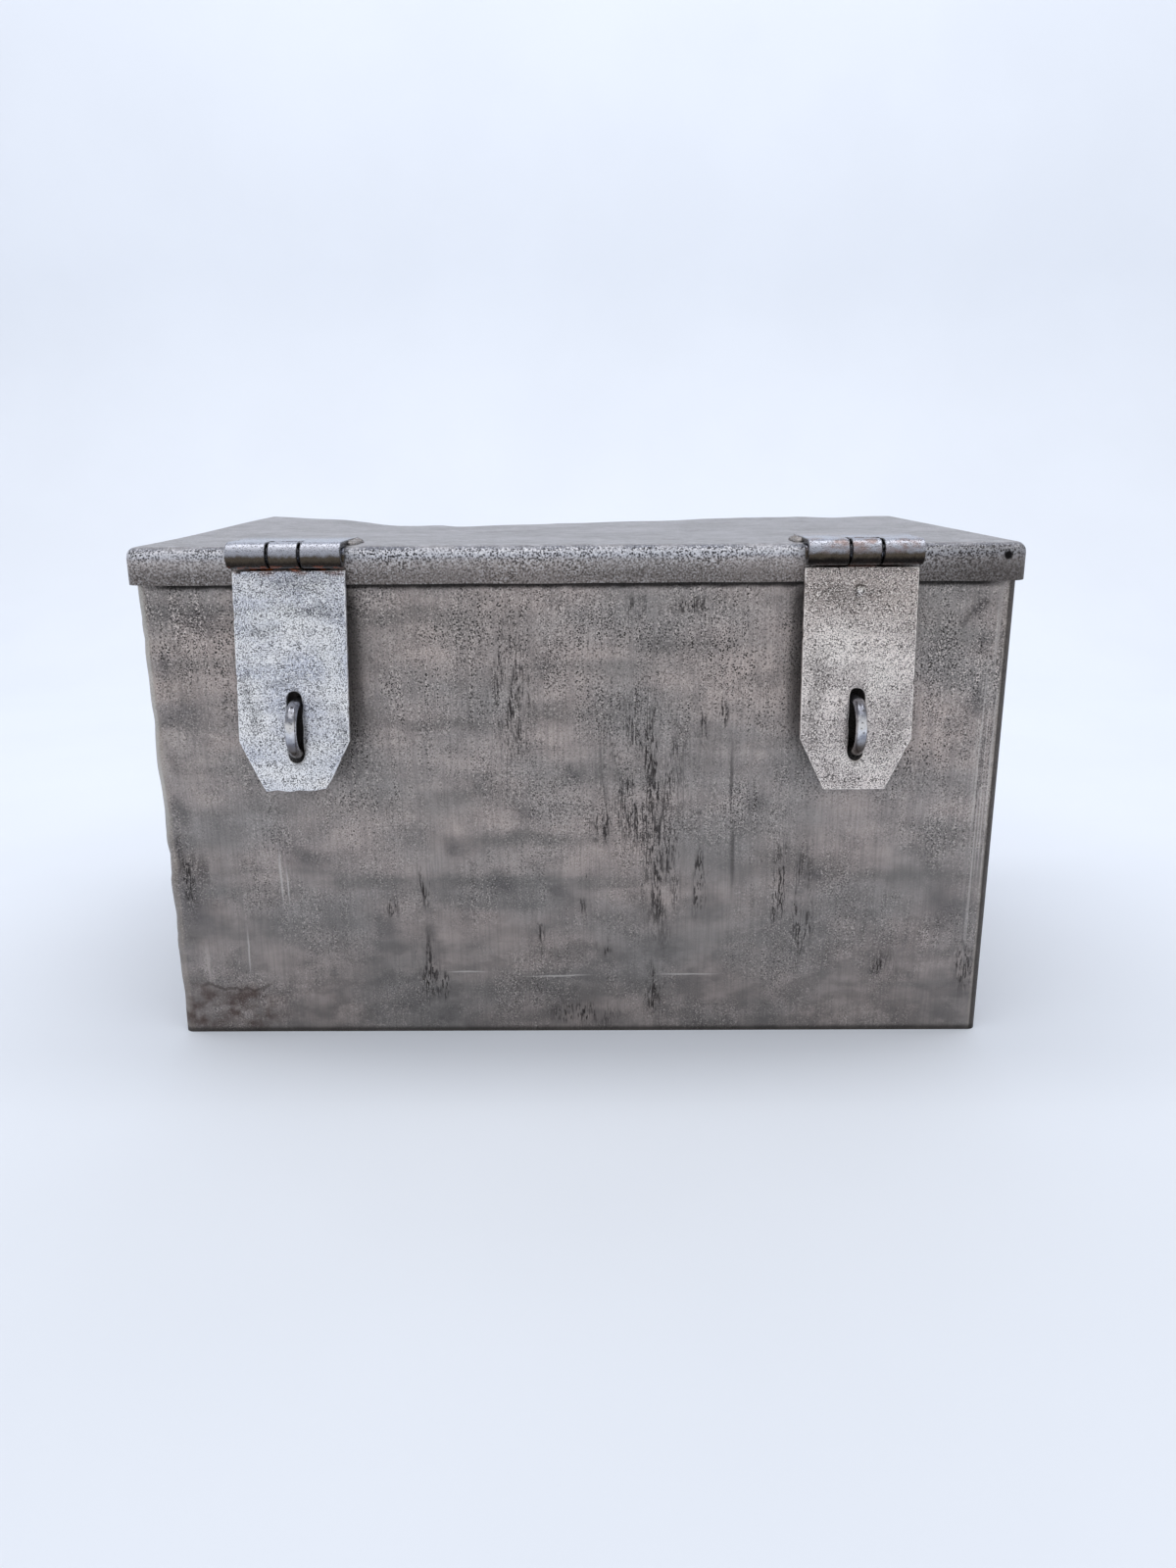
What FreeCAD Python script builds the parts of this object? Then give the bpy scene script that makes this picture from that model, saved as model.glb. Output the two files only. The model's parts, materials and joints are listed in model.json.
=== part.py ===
"""Steel storage box: a bent sheet body with a lift-up lid, two front hasps over bent-rod staples, and two
hinges welded to the back. Millimetres, +Z up, front towards -Y, origin at the middle of the base."""
import FreeCAD, Part
import collections
import os
import re
import Sketcher

# Driving sizes, in millimetres, degrees or shares
SIZES = {
    # sheet-metal body and lid
    "lid_length": 508.0,
    "lid_depth": 305.0,
    "lid_top": 302.0,
    "skirt_height": 21.0,
    "lid_corner": 8.0,
    "lid_bend": 6.0,
    "sheet": 1.5,
    "lid_gap": 2.5,
    "rest_gap": 0.3,
    "wrap_bend": 5.0,
    "rear_flange": 20.0,
    "hem_height": 12.0,
    "hem_relief": 3.0,
    "pan_flange": 16.0,
    "pan_bend": 2.5,
    "sheet_fit": 0.1,
    # flat bar and rod of the hinges and hasps
    "bar_width": 63.5,
    "bar_thick": 3.2,
    "pin_radius": 3.97,
    "pin_clearance": 0.06,
    "pin_recess": 1.8,
    "centre_knuckle": 16.5,
    "knuckle_gap": 1.0,
    "shoulder_gap": 1.1,
    "seam_gap": 0.5,
    # hasps on the front edge of the lid
    "hasp_spread_share": 0.63,
    "hasp_leaf_reach": 46.0,
    "swing_gap": 0.3,
    "hang_angle": 4.8,
    "strap_length": 134.5,
    "strap_tip_width": 35.0,
    "strap_tip_height": 29.5,
    "slot_width": 8.7,
    "slot_length": 41.5,
    "slot_web": 17.0,
    # bent-rod staples on the front wall
    "rod_radius": 3.175,
    "staple_height": 34.35,
    "staple_reach": 33.0,
    "staple_drop": 0.6,
    "staple_tail": 5.0,
    "hole_clearance": 0.1,
    # hinges on the back
    "hinge_spread_share": 0.63,
    "hinge_drop": 3.0,
    "hinge_leaf_margin": 1.0,
    "hinge_tail": 58.0,
    "crank_angle": 45.0,
    "crank_start": 2.0,
    # weld beads
    "bead_leg": 2.8,
    "hasp_bead_length": 26.0,
    "hinge_bead_length": 10.0,
    "tail_bead_length": 30.0,
    "bead_inset": 2.0,
    # how far every cut runs past the metal
    "overrun": 2.0,
}

# Places worked out from the driving sizes, as sheet expressions
WALL_X = "(lid_length / 2 - sheet - lid_gap)"
WALL_Y = "(lid_depth / 2 - sheet - lid_gap)"
RIM_Z = "(lid_top - sheet - rest_gap)"
HEM_Z = f"({RIM_Z} - sheet)"
SKIRT_Z = "(lid_top - skirt_height)"
BORE = "(pin_radius + pin_clearance)"
KNUCKLE = f"({BORE} + bar_thick)"
SHOULDER = f"({KNUCKLE} + shoulder_gap)"
HASP_X = "(lid_length * hasp_spread_share / 2)"
HASP_Y = f"(-lid_depth / 2 - swing_gap - {KNUCKLE})"
HASP_Z = f"(lid_top - {BORE})"
HINGE_X = "(lid_length * hinge_spread_share / 2)"
HINGE_Y = f"(lid_depth / 2 + {KNUCKLE})"
HINGE_Z = f"({SKIRT_Z} - hinge_drop)"
CRANK = "(lid_gap + 2 * sheet)"
SLOT_MIDDLE = "(strap_length - slot_web - slot_length / 2)"
STAPLE_BEND = "(staple_height / 2 - rod_radius)"
STAPLE_LEG = f"(staple_tail + sheet + staple_reach - rod_radius - {STAPLE_BEND})"
STAPLE_Y = f"(-{WALL_Y} + sheet + staple_tail)"
STAPLE_Z = (
    f"({HASP_Z} - {SLOT_MIDDLE} * cos(hang_angle)"
    f" - ({KNUCKLE} - bar_thick / 2) * sin(hang_angle) - staple_drop)"
)

SIDES = {"left": -1, "right": 1}
# A staple's half-round bend is swept in this many straight steps
BEND_STEPS = 9
# Two heights this close count as one
LEVEL_TOLERANCE = 0.001
X_AXIS = FreeCAD.Vector(1, 0, 0)
Y_AXIS = FreeCAD.Vector(0, 1, 0)
Z_AXIS = FreeCAD.Vector(0, 0, 1)

# One step of a closed outline: the corner where it starts, and the curve that leaves it
Line = collections.namedtuple("Line", "x y")
Arc = collections.namedtuple("Arc", "x y centre_x centre_y turn")

doc = FreeCAD.newDocument("steel_storage_box")
sheet = doc.addObject("Spreadsheet::Sheet", "Sizes")
for row, (alias, size) in enumerate(SIZES.items(), start=1):
    sheet.set(f"A{row}", alias)
    sheet.set(f"B{row}", str(size))
    sheet.setAlias(f"B{row}", alias)
doc.recompute()


def bound(expression):
    """The expression with each size's name written as a cell of the sheet."""
    return re.sub(r"[a-z_]+\b(?!\()", lambda word: f"Sizes.{word.group()}", expression)


def amount(expression):
    """The expression's present value."""
    return float(sheet.evalExpression(bound(expression)))


def place(thing, x="0", y="0", z="0", rotation=FreeCAD.Rotation()):
    """Sets a piece's placement and ties its position to the sheet."""
    base = FreeCAD.Vector(amount(x), amount(y), amount(z))
    thing.Placement = FreeCAD.Placement(base, rotation)
    for axis, expression in zip("xyz", (x, y, z)):
        thing.setExpression(f"Placement.Base.{axis}", bound(expression))


def new_body(label):
    """An empty body with this label."""
    body = doc.addObject("PartDesign::Body", label)
    body.Label = label
    return body


def new_sketch(body, name, role):
    """An empty sketch on one of the body's own origin planes."""
    sketch = body.newObject("Sketcher::SketchObject", name)
    plane = next(item for item in body.Origin.OriginFeatures if item.Role == role)
    sketch.AttachmentSupport = [(plane, "")]
    sketch.MapMode = "FlatFace"
    return sketch


def tie(sketch, kind, expression, *ends):
    """Adds a dimension to the sketch and ties it to the sheet."""
    index = sketch.addConstraint(Sketcher.Constraint(kind, *ends, amount(expression)))
    sketch.setExpression(f"Constraints[{index}]", bound(expression))


def curve(step, following):
    """The line or arc from this step's corner to the next one."""
    begin = FreeCAD.Vector(amount(step.x), amount(step.y))
    end = FreeCAD.Vector(amount(following.x), amount(following.y))
    if isinstance(step, Line):
        return Part.LineSegment(begin, end)
    centre = FreeCAD.Vector(amount(step.centre_x), amount(step.centre_y))
    circle = Part.Circle(centre, Z_AXIS, centre.distanceToPoint(begin))
    angles = [circle.parameter(begin), circle.parameter(end)]
    return Part.ArcOfCircle(circle, *angles[:: step.turn])


def tie_centre(sketch, step, following, here):
    """Ties an arc's centre to the sheet along the axis that its chord leaves free."""
    across = abs(amount(following.x) - amount(step.x))
    along = abs(amount(following.y) - amount(step.y))
    if across > along:
        tie(sketch, "DistanceY", step.centre_y, -1, 1, here, 3)
    else:
        tie(sketch, "DistanceX", step.centre_x, -1, 1, here, 3)


def draw(sketch, steps):
    """Draws a closed outline whose corners and arc centres are all tied to the sheet."""
    first = sketch.GeometryCount
    turns = steps[1:] + steps[:1]
    for step, following in zip(steps, turns):
        sketch.addGeometry(curve(step, following))
    starts = [2 if isinstance(step, Arc) and step.turn < 0 else 1 for step in steps]
    for index, step in enumerate(steps):
        here = first + index
        after = (index + 1) % len(steps)
        corner = Sketcher.Constraint("Coincident", here, 3 - starts[index], first + after, starts[after])
        sketch.addConstraint(corner)
        tie(sketch, "DistanceX", step.x, -1, 1, here, starts[index])
        tie(sketch, "DistanceY", step.y, -1, 1, here, starts[index])
        if isinstance(step, Arc):
            tie_centre(sketch, step, steps[after], here)


def draw_circle(sketch, x, y, radius):
    """Draws a circle tied to the sheet."""
    centre = FreeCAD.Vector(amount(x), amount(y))
    here = sketch.addGeometry(Part.Circle(centre, Z_AXIS, amount(radius)))
    tie(sketch, "DistanceX", x, -1, 1, here, 3)
    tie(sketch, "DistanceY", y, -1, 1, here, 3)
    tie(sketch, "Radius", radius, here)


def rectangle(low_x, low_y, high_x, high_y):
    """The outline of a rectangle."""
    return [Line(low_x, low_y), Line(high_x, low_y), Line(high_x, high_y), Line(low_x, high_y)]


def rounded_rectangle(low_x, low_y, high_x, high_y, radius):
    """The outline of a rectangle with round corners."""
    left, right = f"{low_x} + {radius}", f"{high_x} - {radius}"
    front, back = f"{low_y} + {radius}", f"{high_y} - {radius}"
    return [
        Line(left, low_y),
        Arc(right, low_y, right, front, 1),
        Line(high_x, front),
        Arc(high_x, back, right, back, 1),
        Line(right, high_y),
        Arc(left, high_y, left, back, 1),
        Line(low_x, back),
        Arc(low_x, front, left, front, 1),
    ]


def extrude(kind, body, name, role, length, outlines, symmetric=True):
    """A pad or pocket of closed outlines drawn on one of the body's origin planes."""
    sketch = new_sketch(body, f"{name}_sketch", role)
    for steps in outlines:
        draw(sketch, steps)
    feature = body.newObject(f"PartDesign::{kind}", name)
    feature.Profile = sketch
    feature.SideType = "Symmetric" if symmetric else "One side"
    feature.setExpression("Length", bound(length))
    return feature


def names_at(kind, shape, height):
    """The names of the shape's faces or edges that lie level at this height."""
    boxes = [item.BoundBox for item in getattr(shape, f"{kind}s")]
    level = [max(abs(box.ZMin - height), abs(box.ZMax - height)) < LEVEL_TOLERANCE for box in boxes]
    return [f"{kind}{index}" for index, flat in enumerate(level, start=1) if flat]


def fillet(body, name, base, edges, radius):
    """Rounds edges of a body's feature."""
    feature = body.newObject("PartDesign::Fillet", name)
    feature.Base = (base, edges)
    feature.setExpression("Radius", bound(radius))
    doc.recompute()
    return feature


def hollow(body, name, base, faces):
    """Leaves a wall of one sheet inside a body's feature, open at these faces."""
    feature = body.newObject("PartDesign::Thickness", name)
    feature.Base = (base, faces)
    feature.setExpression("Value", bound("sheet"))
    feature.Reversed = True
    doc.recompute()
    return feature


def bent_path(corners, radius, turn):
    """The steps along the body's bends, outside or inside the sheet."""
    steps = []
    for index, (side_x, side_y) in enumerate(corners):
        centre = (f"{side_x} * ({WALL_X} - wrap_bend)", f"{side_y} * ({WALL_Y} - wrap_bend)")
        along_x = (centre[0], f"{centre[1]} + {side_y} * {radius}")
        along_y = (f"{centre[0]} + {side_x} * {radius}", centre[1])
        ends = (along_x, along_y) if index % 2 == 0 else (along_y, along_x)
        steps += [Arc(*ends[0], *centre, turn), Line(*ends[1])]
    return steps


def hem(outside, inwards):
    """A closed hem, folded to the inside of a wall's top edge: its outline across the wall."""
    inside = f"{outside} + {inwards} * 2 * sheet"
    middle = f"{outside} + {inwards} * sheet"
    return [
        Arc(outside, HEM_Z, middle, HEM_Z, -inwards),
        Line(inside, HEM_Z),
        Line(inside, f"{HEM_Z} - hem_height"),
        Line(middle, f"{HEM_Z} - hem_height"),
        Line(middle, HEM_Z),
    ]


def make_body_wrap():
    """Front, sides and rear flanges bent from one sheet, with hemmed rims and the staples' holes."""
    body = new_body("body_wrap")
    corners = [(1, 1), (1, -1), (-1, -1), (-1, 1)]
    flange_end = f"({WALL_X} - rear_flange)"
    outline = [Line(flange_end, WALL_Y)]
    outline += bent_path(corners, "wrap_bend", -1)
    outline += [Line(f"-{flange_end}", WALL_Y), Line(f"-{flange_end}", f"{WALL_Y} - sheet")]
    outline += bent_path(corners[::-1], "(wrap_bend - sheet)", 1)
    outline += [Line(flange_end, f"{WALL_Y} - sheet")]
    extrude("Pad", body, "wall", "XY_Plane", HEM_Z, [outline], symmetric=False)
    front_run = f"2 * ({WALL_X} - wrap_bend - hem_relief)"
    extrude("Pad", body, "front_hem", "YZ_Plane", front_run, [hem(f"-{WALL_Y}", 1)])
    side_run = f"2 * ({WALL_Y} - wrap_bend - hem_relief)"
    side_hems = [hem(f"-{WALL_X}", 1), hem(WALL_X, -1)]
    extrude("Pad", body, "side_hems", "XZ_Plane", side_run, side_hems)
    holes = extrude("Pocket", body, "staple_holes", "XZ_Plane", f"{WALL_Y} + overrun", [], symmetric=False)
    for side in SIDES.values():
        for level in SIDES.values():
            leg_z = f"{STAPLE_Z} + {level} * {STAPLE_BEND}"
            draw_circle(holes.Profile[0], f"{side} * {HASP_X}", leg_z, "rod_radius + hole_clearance")
    holes.Reversed = True
    return body


def make_back_panel():
    """Flat back, lapped inside the rear flanges, with a hemmed rim."""
    body = new_body("back_panel")
    outside = f"({WALL_Y} - sheet)"
    width = f"2 * ({WALL_X} - wrap_bend)"
    panel = rectangle(f"{outside} - sheet", "0", outside, HEM_Z)
    extrude("Pad", body, "panel", "YZ_Plane", width, [panel])
    extrude("Pad", body, "rear_hem", "YZ_Plane", f"{width} - 2 * hem_relief", [hem(outside, -1)])
    return body


def make_bottom_pan():
    """Floor with turned-up flanges, spot-welded inside the foot of the walls."""
    body = new_body("bottom_pan")
    side = f"({WALL_X} - sheet - sheet_fit)"
    front = f"(-{WALL_Y} + sheet + sheet_fit)"
    back = f"({WALL_Y} - 2 * sheet - sheet_fit)"
    corner = "(wrap_bend - sheet - sheet_fit)"
    outline = rounded_rectangle(f"-{side}", front, side, back, corner)
    block = extrude("Pad", body, "block", "XY_Plane", "pan_flange", [outline], symmetric=False)
    doc.recompute()
    rounded = fillet(body, "floor_bend", block, names_at("Edge", block.Shape, 0), "pan_bend")
    hollow(body, "pan_wall", rounded, names_at("Face", rounded.Shape, amount("pan_flange")))
    return body


def make_lid_shell():
    """Lid with a skirt on all four sides and round bends, open below."""
    body = new_body("lid_shell")
    outline = rounded_rectangle(
        "-lid_length / 2", "-lid_depth / 2", "lid_length / 2", "lid_depth / 2", "lid_corner"
    )
    block = extrude("Pad", body, "block", "XY_Plane", "skirt_height", [outline], symmetric=False)
    doc.recompute()
    top_edges = names_at("Edge", block.Shape, amount("skirt_height"))
    rounded = fillet(body, "top_bend", block, top_edges, "lid_bend")
    hollow(body, "lid_wall", rounded, names_at("Face", rounded.Shape, 0))
    place(body, z=SKIRT_Z)
    return body


def rolled_outline(plate):
    """A bar's end rolled round its pin, seen along the pin, and then the plate's own corners.
    The pin is at the origin, and the plate leaves the roll downwards on its +Y side."""
    seam_y = f"({BORE} - seam_gap)"
    seam_z = f"-sqrt({KNUCKLE} ^ 2 - {seam_y} ^ 2)"
    inner_share = f"{BORE} / {KNUCKLE}"
    return [
        Arc(KNUCKLE, "0", "0", "0", 1),
        Line(seam_y, seam_z),
        Arc(f"{seam_y} * {inner_share}", f"{seam_z} * {inner_share}", "0", "0", -1),
        Line(BORE, "0"),
        *plate,
    ]


def make_leaf(label, plate, centre):
    """A hinge leaf of flat bar with its rolled knuckles: the centre one, or else the outer pair."""
    body = new_body(label)
    extrude("Pad", body, "roll", "YZ_Plane", "bar_width", [rolled_outline(plate)])
    split = "(centre_knuckle / 2)" if centre else "(centre_knuckle / 2 + knuckle_gap)"
    edge = "(bar_width / 2 + overrun)"
    top = f"({KNUCKLE} + overrun)"
    if centre:
        notches = [
            rectangle(split, f"-{SHOULDER}", edge, top),
            rectangle(f"-{edge}", f"-{SHOULDER}", f"-{split}", top),
        ]
    else:
        notches = [rectangle(f"-{split}", f"-{SHOULDER}", split, top)]
    extrude("Pocket", body, "notches", "XZ_Plane", f"2 * ({KNUCKLE} + overrun)", notches)
    return body


def flat_plate(reach):
    """The lower corners of a straight plate."""
    return [Line(BORE, f"-{reach}"), Line(KNUCKLE, f"-{reach}")]


def cranked_plate():
    """The corners of a plate that steps back from the roll to lie flat on the recessed back panel."""
    start = f"-({SHOULDER} + crank_start)"
    stop = f"{start} - {CRANK} / tan(crank_angle)"
    mitre = "bar_thick * tan(crank_angle / 2)"
    return [
        Line(BORE, f"{start} - {mitre}"),
        Line(f"{BORE} + {CRANK}", f"{stop} - {mitre}"),
        Line(f"{BORE} + {CRANK}", "-hinge_tail"),
        Line(f"{KNUCKLE} + {CRANK}", "-hinge_tail"),
        Line(f"{KNUCKLE} + {CRANK}", stop),
        Line(KNUCKLE, start),
    ]


def make_hasp_leaf(name, side):
    """Hasp leaf welded flat on the lid, with the outer knuckles over its front edge."""
    body = make_leaf(f"hasp_leaf_{name}", flat_plate("hasp_leaf_reach"), centre=False)
    place(body, f"{side} * {HASP_X}", HASP_Y, HASP_Z, FreeCAD.Rotation(X_AXIS, 90))
    return body


def make_hasp_strap(name, side):
    """Hasp strap with a rolled centre knuckle, a staple slot and a tapered tip, hanging by its own weight."""
    body = make_leaf(f"hasp_strap_{name}", flat_plate("strap_length"), centre=True)
    cut_depth = f"2 * ({KNUCKLE} + overrun)"
    half, tip = "(bar_width / 2)", "(strap_tip_width / 2)"
    taper = f"(({half} - {tip}) / strap_tip_height)"
    corners = [
        [
            Line(f"{edge} * {half}", "-strap_length + strap_tip_height"),
            Line(f"{edge} * ({tip} - overrun * {taper})", "-strap_length - overrun"),
            Line(f"{edge} * ({half} + overrun)", "-strap_length - overrun"),
            Line(f"{edge} * ({half} + overrun)", "-strap_length + strap_tip_height"),
        ]
        for edge in SIDES.values()
    ]
    extrude("Pocket", body, "tip", "XZ_Plane", cut_depth, corners)
    end = "(slot_width / 2)"
    run = "(slot_length / 2 - slot_width / 2)"
    slot = [
        Arc(end, f"-{SLOT_MIDDLE} + {run}", "0", f"-{SLOT_MIDDLE} + {run}", 1),
        Line(f"-{end}", f"-{SLOT_MIDDLE} + {run}"),
        Arc(f"-{end}", f"-{SLOT_MIDDLE} - {run}", "0", f"-{SLOT_MIDDLE} - {run}", 1),
        Line(end, f"-{SLOT_MIDDLE} - {run}"),
    ]
    extrude("Pocket", body, "slot", "XZ_Plane", cut_depth, [slot])
    hang = FreeCAD.Rotation(-X_AXIS, amount("hang_angle"))
    place(body, f"{side} * {HASP_X}", HASP_Y, HASP_Z, hang)
    body.setExpression("Placement.Rotation.Angle", bound("hang_angle"))
    return body


def make_hinge_lid_leaf(name, side):
    """Rear hinge leaf welded to the outside of the lid's rear skirt."""
    reach = "(hinge_drop + skirt_height - lid_bend - hinge_leaf_margin)"
    body = make_leaf(f"hinge_lid_leaf_{name}", flat_plate(reach), centre=False)
    place(body, f"{side} * {HINGE_X}", HINGE_Y, HINGE_Z, FreeCAD.Rotation(X_AXIS, 180))
    return body


def make_hinge_body_leaf(name, side):
    """Rear hinge leaf, cranked to lie flat on the back panel, with the centre knuckle."""
    body = make_leaf(f"hinge_body_leaf_{name}", cranked_plate(), centre=True)
    place(body, f"{side} * {HINGE_X}", HINGE_Y, HINGE_Z, FreeCAD.Rotation(Z_AXIS, 180))
    return body


def make_pin(label, x, y, z):
    """A plain rod pin, a little shorter than its row of knuckles."""
    pin = doc.addObject("Part::Cylinder", label)
    pin.Label = label
    pin.setExpression("Radius", bound("pin_radius"))
    pin.setExpression("Height", bound("bar_width - 2 * pin_recess"))
    place(pin, f"{x} - bar_width / 2 + pin_recess", y, z, FreeCAD.Rotation(Y_AXIS, 90))
    return pin


def make_staple(name, side):
    """Round rod bent into a staple, with its legs through the front wall."""
    body = new_body(f"hasp_staple_{name}")
    spine = new_sketch(body, "spine", "YZ_Plane")
    angles = [180 * step / BEND_STEPS for step in range(BEND_STEPS + 1)]
    ends = [Line("0", STAPLE_BEND)]
    ends += [Line(f"-{STAPLE_LEG} - {STAPLE_BEND} * sin({a})", f"{STAPLE_BEND} * cos({a})") for a in angles]
    ends.append(Line("0", f"-{STAPLE_BEND}"))
    draw(spine, ends)
    spine.delGeometry(len(ends) - 1)
    section = new_sketch(body, "section", "XZ_Plane")
    draw_circle(section, "0", STAPLE_BEND, "rod_radius")
    pipe = body.newObject("PartDesign::AdditivePipe", "rod")
    pipe.Profile = section
    pipe.Spine = spine
    pipe.Transition = "Right corner"
    place(body, f"{side} * {HASP_X}", STAPLE_Y, STAPLE_Z)
    return body


def make_bead(name, lateral, normal, length, base):
    """One weld bead in the corner between a leaf's edge and the sheet that it lies on."""
    body = new_body(name)
    section = [Arc("bead_leg", "0", "0", "0", 1), Line("0", "bead_leg"), Line("0", "0")]
    bead = extrude("Pad", body, "bead", "XZ_Plane", length, [section], symmetric=False)
    bead.Reversed = True
    place(body, *base, rotation=FreeCAD.Rotation(lateral, normal.cross(lateral), normal, "XZY"))
    return body


def make_group(label, members):
    """Separate solids that share one label."""
    group = doc.addObject("Part::Compound", label)
    group.Label = label
    group.Links = members
    return group


def make_hasp_welds():
    """Beads along both edges of each hasp leaf, on the lid."""
    beads = []
    front = "(-lid_depth / 2 + lid_bend + bead_inset)"
    for name, side in SIDES.items():
        for edge_name, edge in SIDES.items():
            start = front if edge > 0 else f"({front} + hasp_bead_length)"
            base = (f"{side} * {HASP_X} + {edge} * bar_width / 2", start, "lid_top")
            bead_name = f"hasp_bead_{name}_{edge_name}"
            beads.append(make_bead(bead_name, X_AXIS * edge, Z_AXIS, "hasp_bead_length", base))
    return make_group("hasp_leaf_welds", beads)


def make_hinge_welds(label, surface, top, length):
    """Upright beads along both edges of each rear hinge leaf."""
    beads = []
    for name, side in SIDES.items():
        for edge_name, edge in SIDES.items():
            start = top if edge > 0 else f"({top} - {length})"
            base = (f"{side} * {HINGE_X} + {edge} * bar_width / 2", surface, start)
            beads.append(make_bead(f"{label}_{name}_{edge_name}", X_AXIS * edge, Y_AXIS, length, base))
    return make_group(label, beads)


def make_staple_welds():
    """Coned beads round the staples' legs, inside the front wall."""
    rings = []
    for name, side in SIDES.items():
        for level_name, level in SIDES.items():
            cone = doc.addObject("Part::Cone", f"staple_cone_{name}_{level_name}")
            cone.setExpression("Radius1", bound("rod_radius + hole_clearance + bead_leg"))
            cone.setExpression("Radius2", bound("rod_radius + hole_clearance"))
            cone.setExpression("Height", bound("bead_leg"))
            core = doc.addObject("Part::Cylinder", f"staple_core_{name}_{level_name}")
            core.setExpression("Radius", bound("rod_radius"))
            core.setExpression("Height", bound("bead_leg"))
            ring = doc.addObject("Part::Cut", f"staple_bead_{name}_{level_name}")
            ring.Base = cone
            ring.Tool = core
            leg_z = f"{STAPLE_Z} + {level} * {STAPLE_BEND}"
            turn = FreeCAD.Rotation(X_AXIS, -90)
            place(ring, f"{side} * {HASP_X}", f"-{WALL_Y} + sheet", leg_z, turn)
            rings.append(ring)
    return make_group("staple_welds", rings)


pieces = [make_body_wrap(), make_back_panel(), make_bottom_pan(), make_lid_shell()]
for name, side in SIDES.items():
    pieces += [make_hasp_leaf(name, side), make_hasp_strap(name, side), make_staple(name, side)]
    pieces += [make_hinge_lid_leaf(name, side), make_hinge_body_leaf(name, side)]
    pieces.append(make_pin(f"hasp_pin_{name}", f"{side} * {HASP_X}", HASP_Y, HASP_Z))
    pieces.append(make_pin(f"hinge_pin_{name}", f"{side} * {HINGE_X}", HINGE_Y, HINGE_Z))
lid_bead_top = f"({HINGE_Z} + hinge_drop + bead_inset + hinge_bead_length)"
tail_bead_top = f"({HINGE_Z} - hinge_tail + bead_inset + tail_bead_length)"
pieces += [make_hasp_welds(), make_staple_welds()]
pieces.append(make_hinge_welds("hinge_lid_welds", "lid_depth / 2", lid_bead_top, "hinge_bead_length"))
pieces.append(make_hinge_welds("hinge_body_welds", f"{WALL_Y} - sheet", tail_bead_top, "tail_bead_length"))
doc.recompute()

for thing in doc.Objects:
    if {"Invalid", "Error"} & set(thing.State):
        raise RuntimeError(f"{thing.Label} failed: {thing.State}")
for piece in pieces:
    if piece.Shape.isNull() or not piece.Shape.isValid():
        raise RuntimeError(f"{piece.Label} has no valid shape")

os.makedirs("parts", exist_ok=True)
for piece in pieces:
    piece.Shape.exportStep(f"parts/{piece.Label}.step")
    print(piece.Label, len(piece.Shape.Solids), round(piece.Shape.Volume), piece.Shape.BoundBox)
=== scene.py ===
"""Steel storage box: worn sheet, flat bar and rod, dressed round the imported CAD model.
Metres, in the CAD's own frame: +X right, +Y back, +Z up, origin at the middle of the base."""
import json
import math

import bmesh
import bpy
import numpy as np
from mathutils import Matrix, Vector
from mathutils.kdtree import KDTree


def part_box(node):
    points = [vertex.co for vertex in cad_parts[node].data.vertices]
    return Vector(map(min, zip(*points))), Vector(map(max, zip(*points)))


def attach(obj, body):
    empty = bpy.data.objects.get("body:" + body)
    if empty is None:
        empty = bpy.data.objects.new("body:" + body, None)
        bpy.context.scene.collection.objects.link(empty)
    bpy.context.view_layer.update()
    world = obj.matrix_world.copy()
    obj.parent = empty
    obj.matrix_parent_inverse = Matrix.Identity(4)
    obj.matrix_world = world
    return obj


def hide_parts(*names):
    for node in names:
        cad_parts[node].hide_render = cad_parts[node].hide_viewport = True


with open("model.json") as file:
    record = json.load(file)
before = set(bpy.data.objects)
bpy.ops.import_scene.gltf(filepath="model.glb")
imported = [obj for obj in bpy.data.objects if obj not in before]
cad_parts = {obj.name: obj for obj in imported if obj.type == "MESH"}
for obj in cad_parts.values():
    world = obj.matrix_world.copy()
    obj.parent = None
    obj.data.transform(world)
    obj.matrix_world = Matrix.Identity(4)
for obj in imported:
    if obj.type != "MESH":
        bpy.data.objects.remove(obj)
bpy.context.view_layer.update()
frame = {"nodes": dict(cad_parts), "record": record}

# Places read from the frame
BODY_LOW, BODY_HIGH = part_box("body_wrap")
LID_LOW, LID_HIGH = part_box("lid_shell")
HASP_X = sum(corner.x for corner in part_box("hasp_pin_right")) / 2
HASP_Z = sum(corner.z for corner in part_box("hasp_pin_left")) / 2
STAPLE_Z = sum(corner.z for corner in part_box("hasp_staple_left")) / 2
STRAP_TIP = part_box("hasp_strap_left")[0].z
INNER_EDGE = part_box("hasp_strap_right")[0].x
KNUCKLE_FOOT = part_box("hasp_leaf_left")[0].z
PANEL_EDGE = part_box("back_panel")[1].x
NODE_BODY = {node: body for body, nodes in frame["record"]["behaviour"]["bodies"].items() for node in nodes}
NODE_SLOT = {part["node"]: part["material_slot"] for part in frame["record"]["subparts"]}
SIDES = {"left": -1, "right": 1}

# Camera, fitted to the corners of the box in the photograph
PHOTO_HEIGHT = 1600
FOCAL_PIXELS = 1164.16
SENSOR = 36
CAMERA_PLACE = (0.01168, -0.80064, 0.34832)
CAMERA_PITCH = math.radians(15.924)
CAMERA_YAW = math.radians(0.455)
CAMERA_ROLL = math.radians(-0.411)

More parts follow.
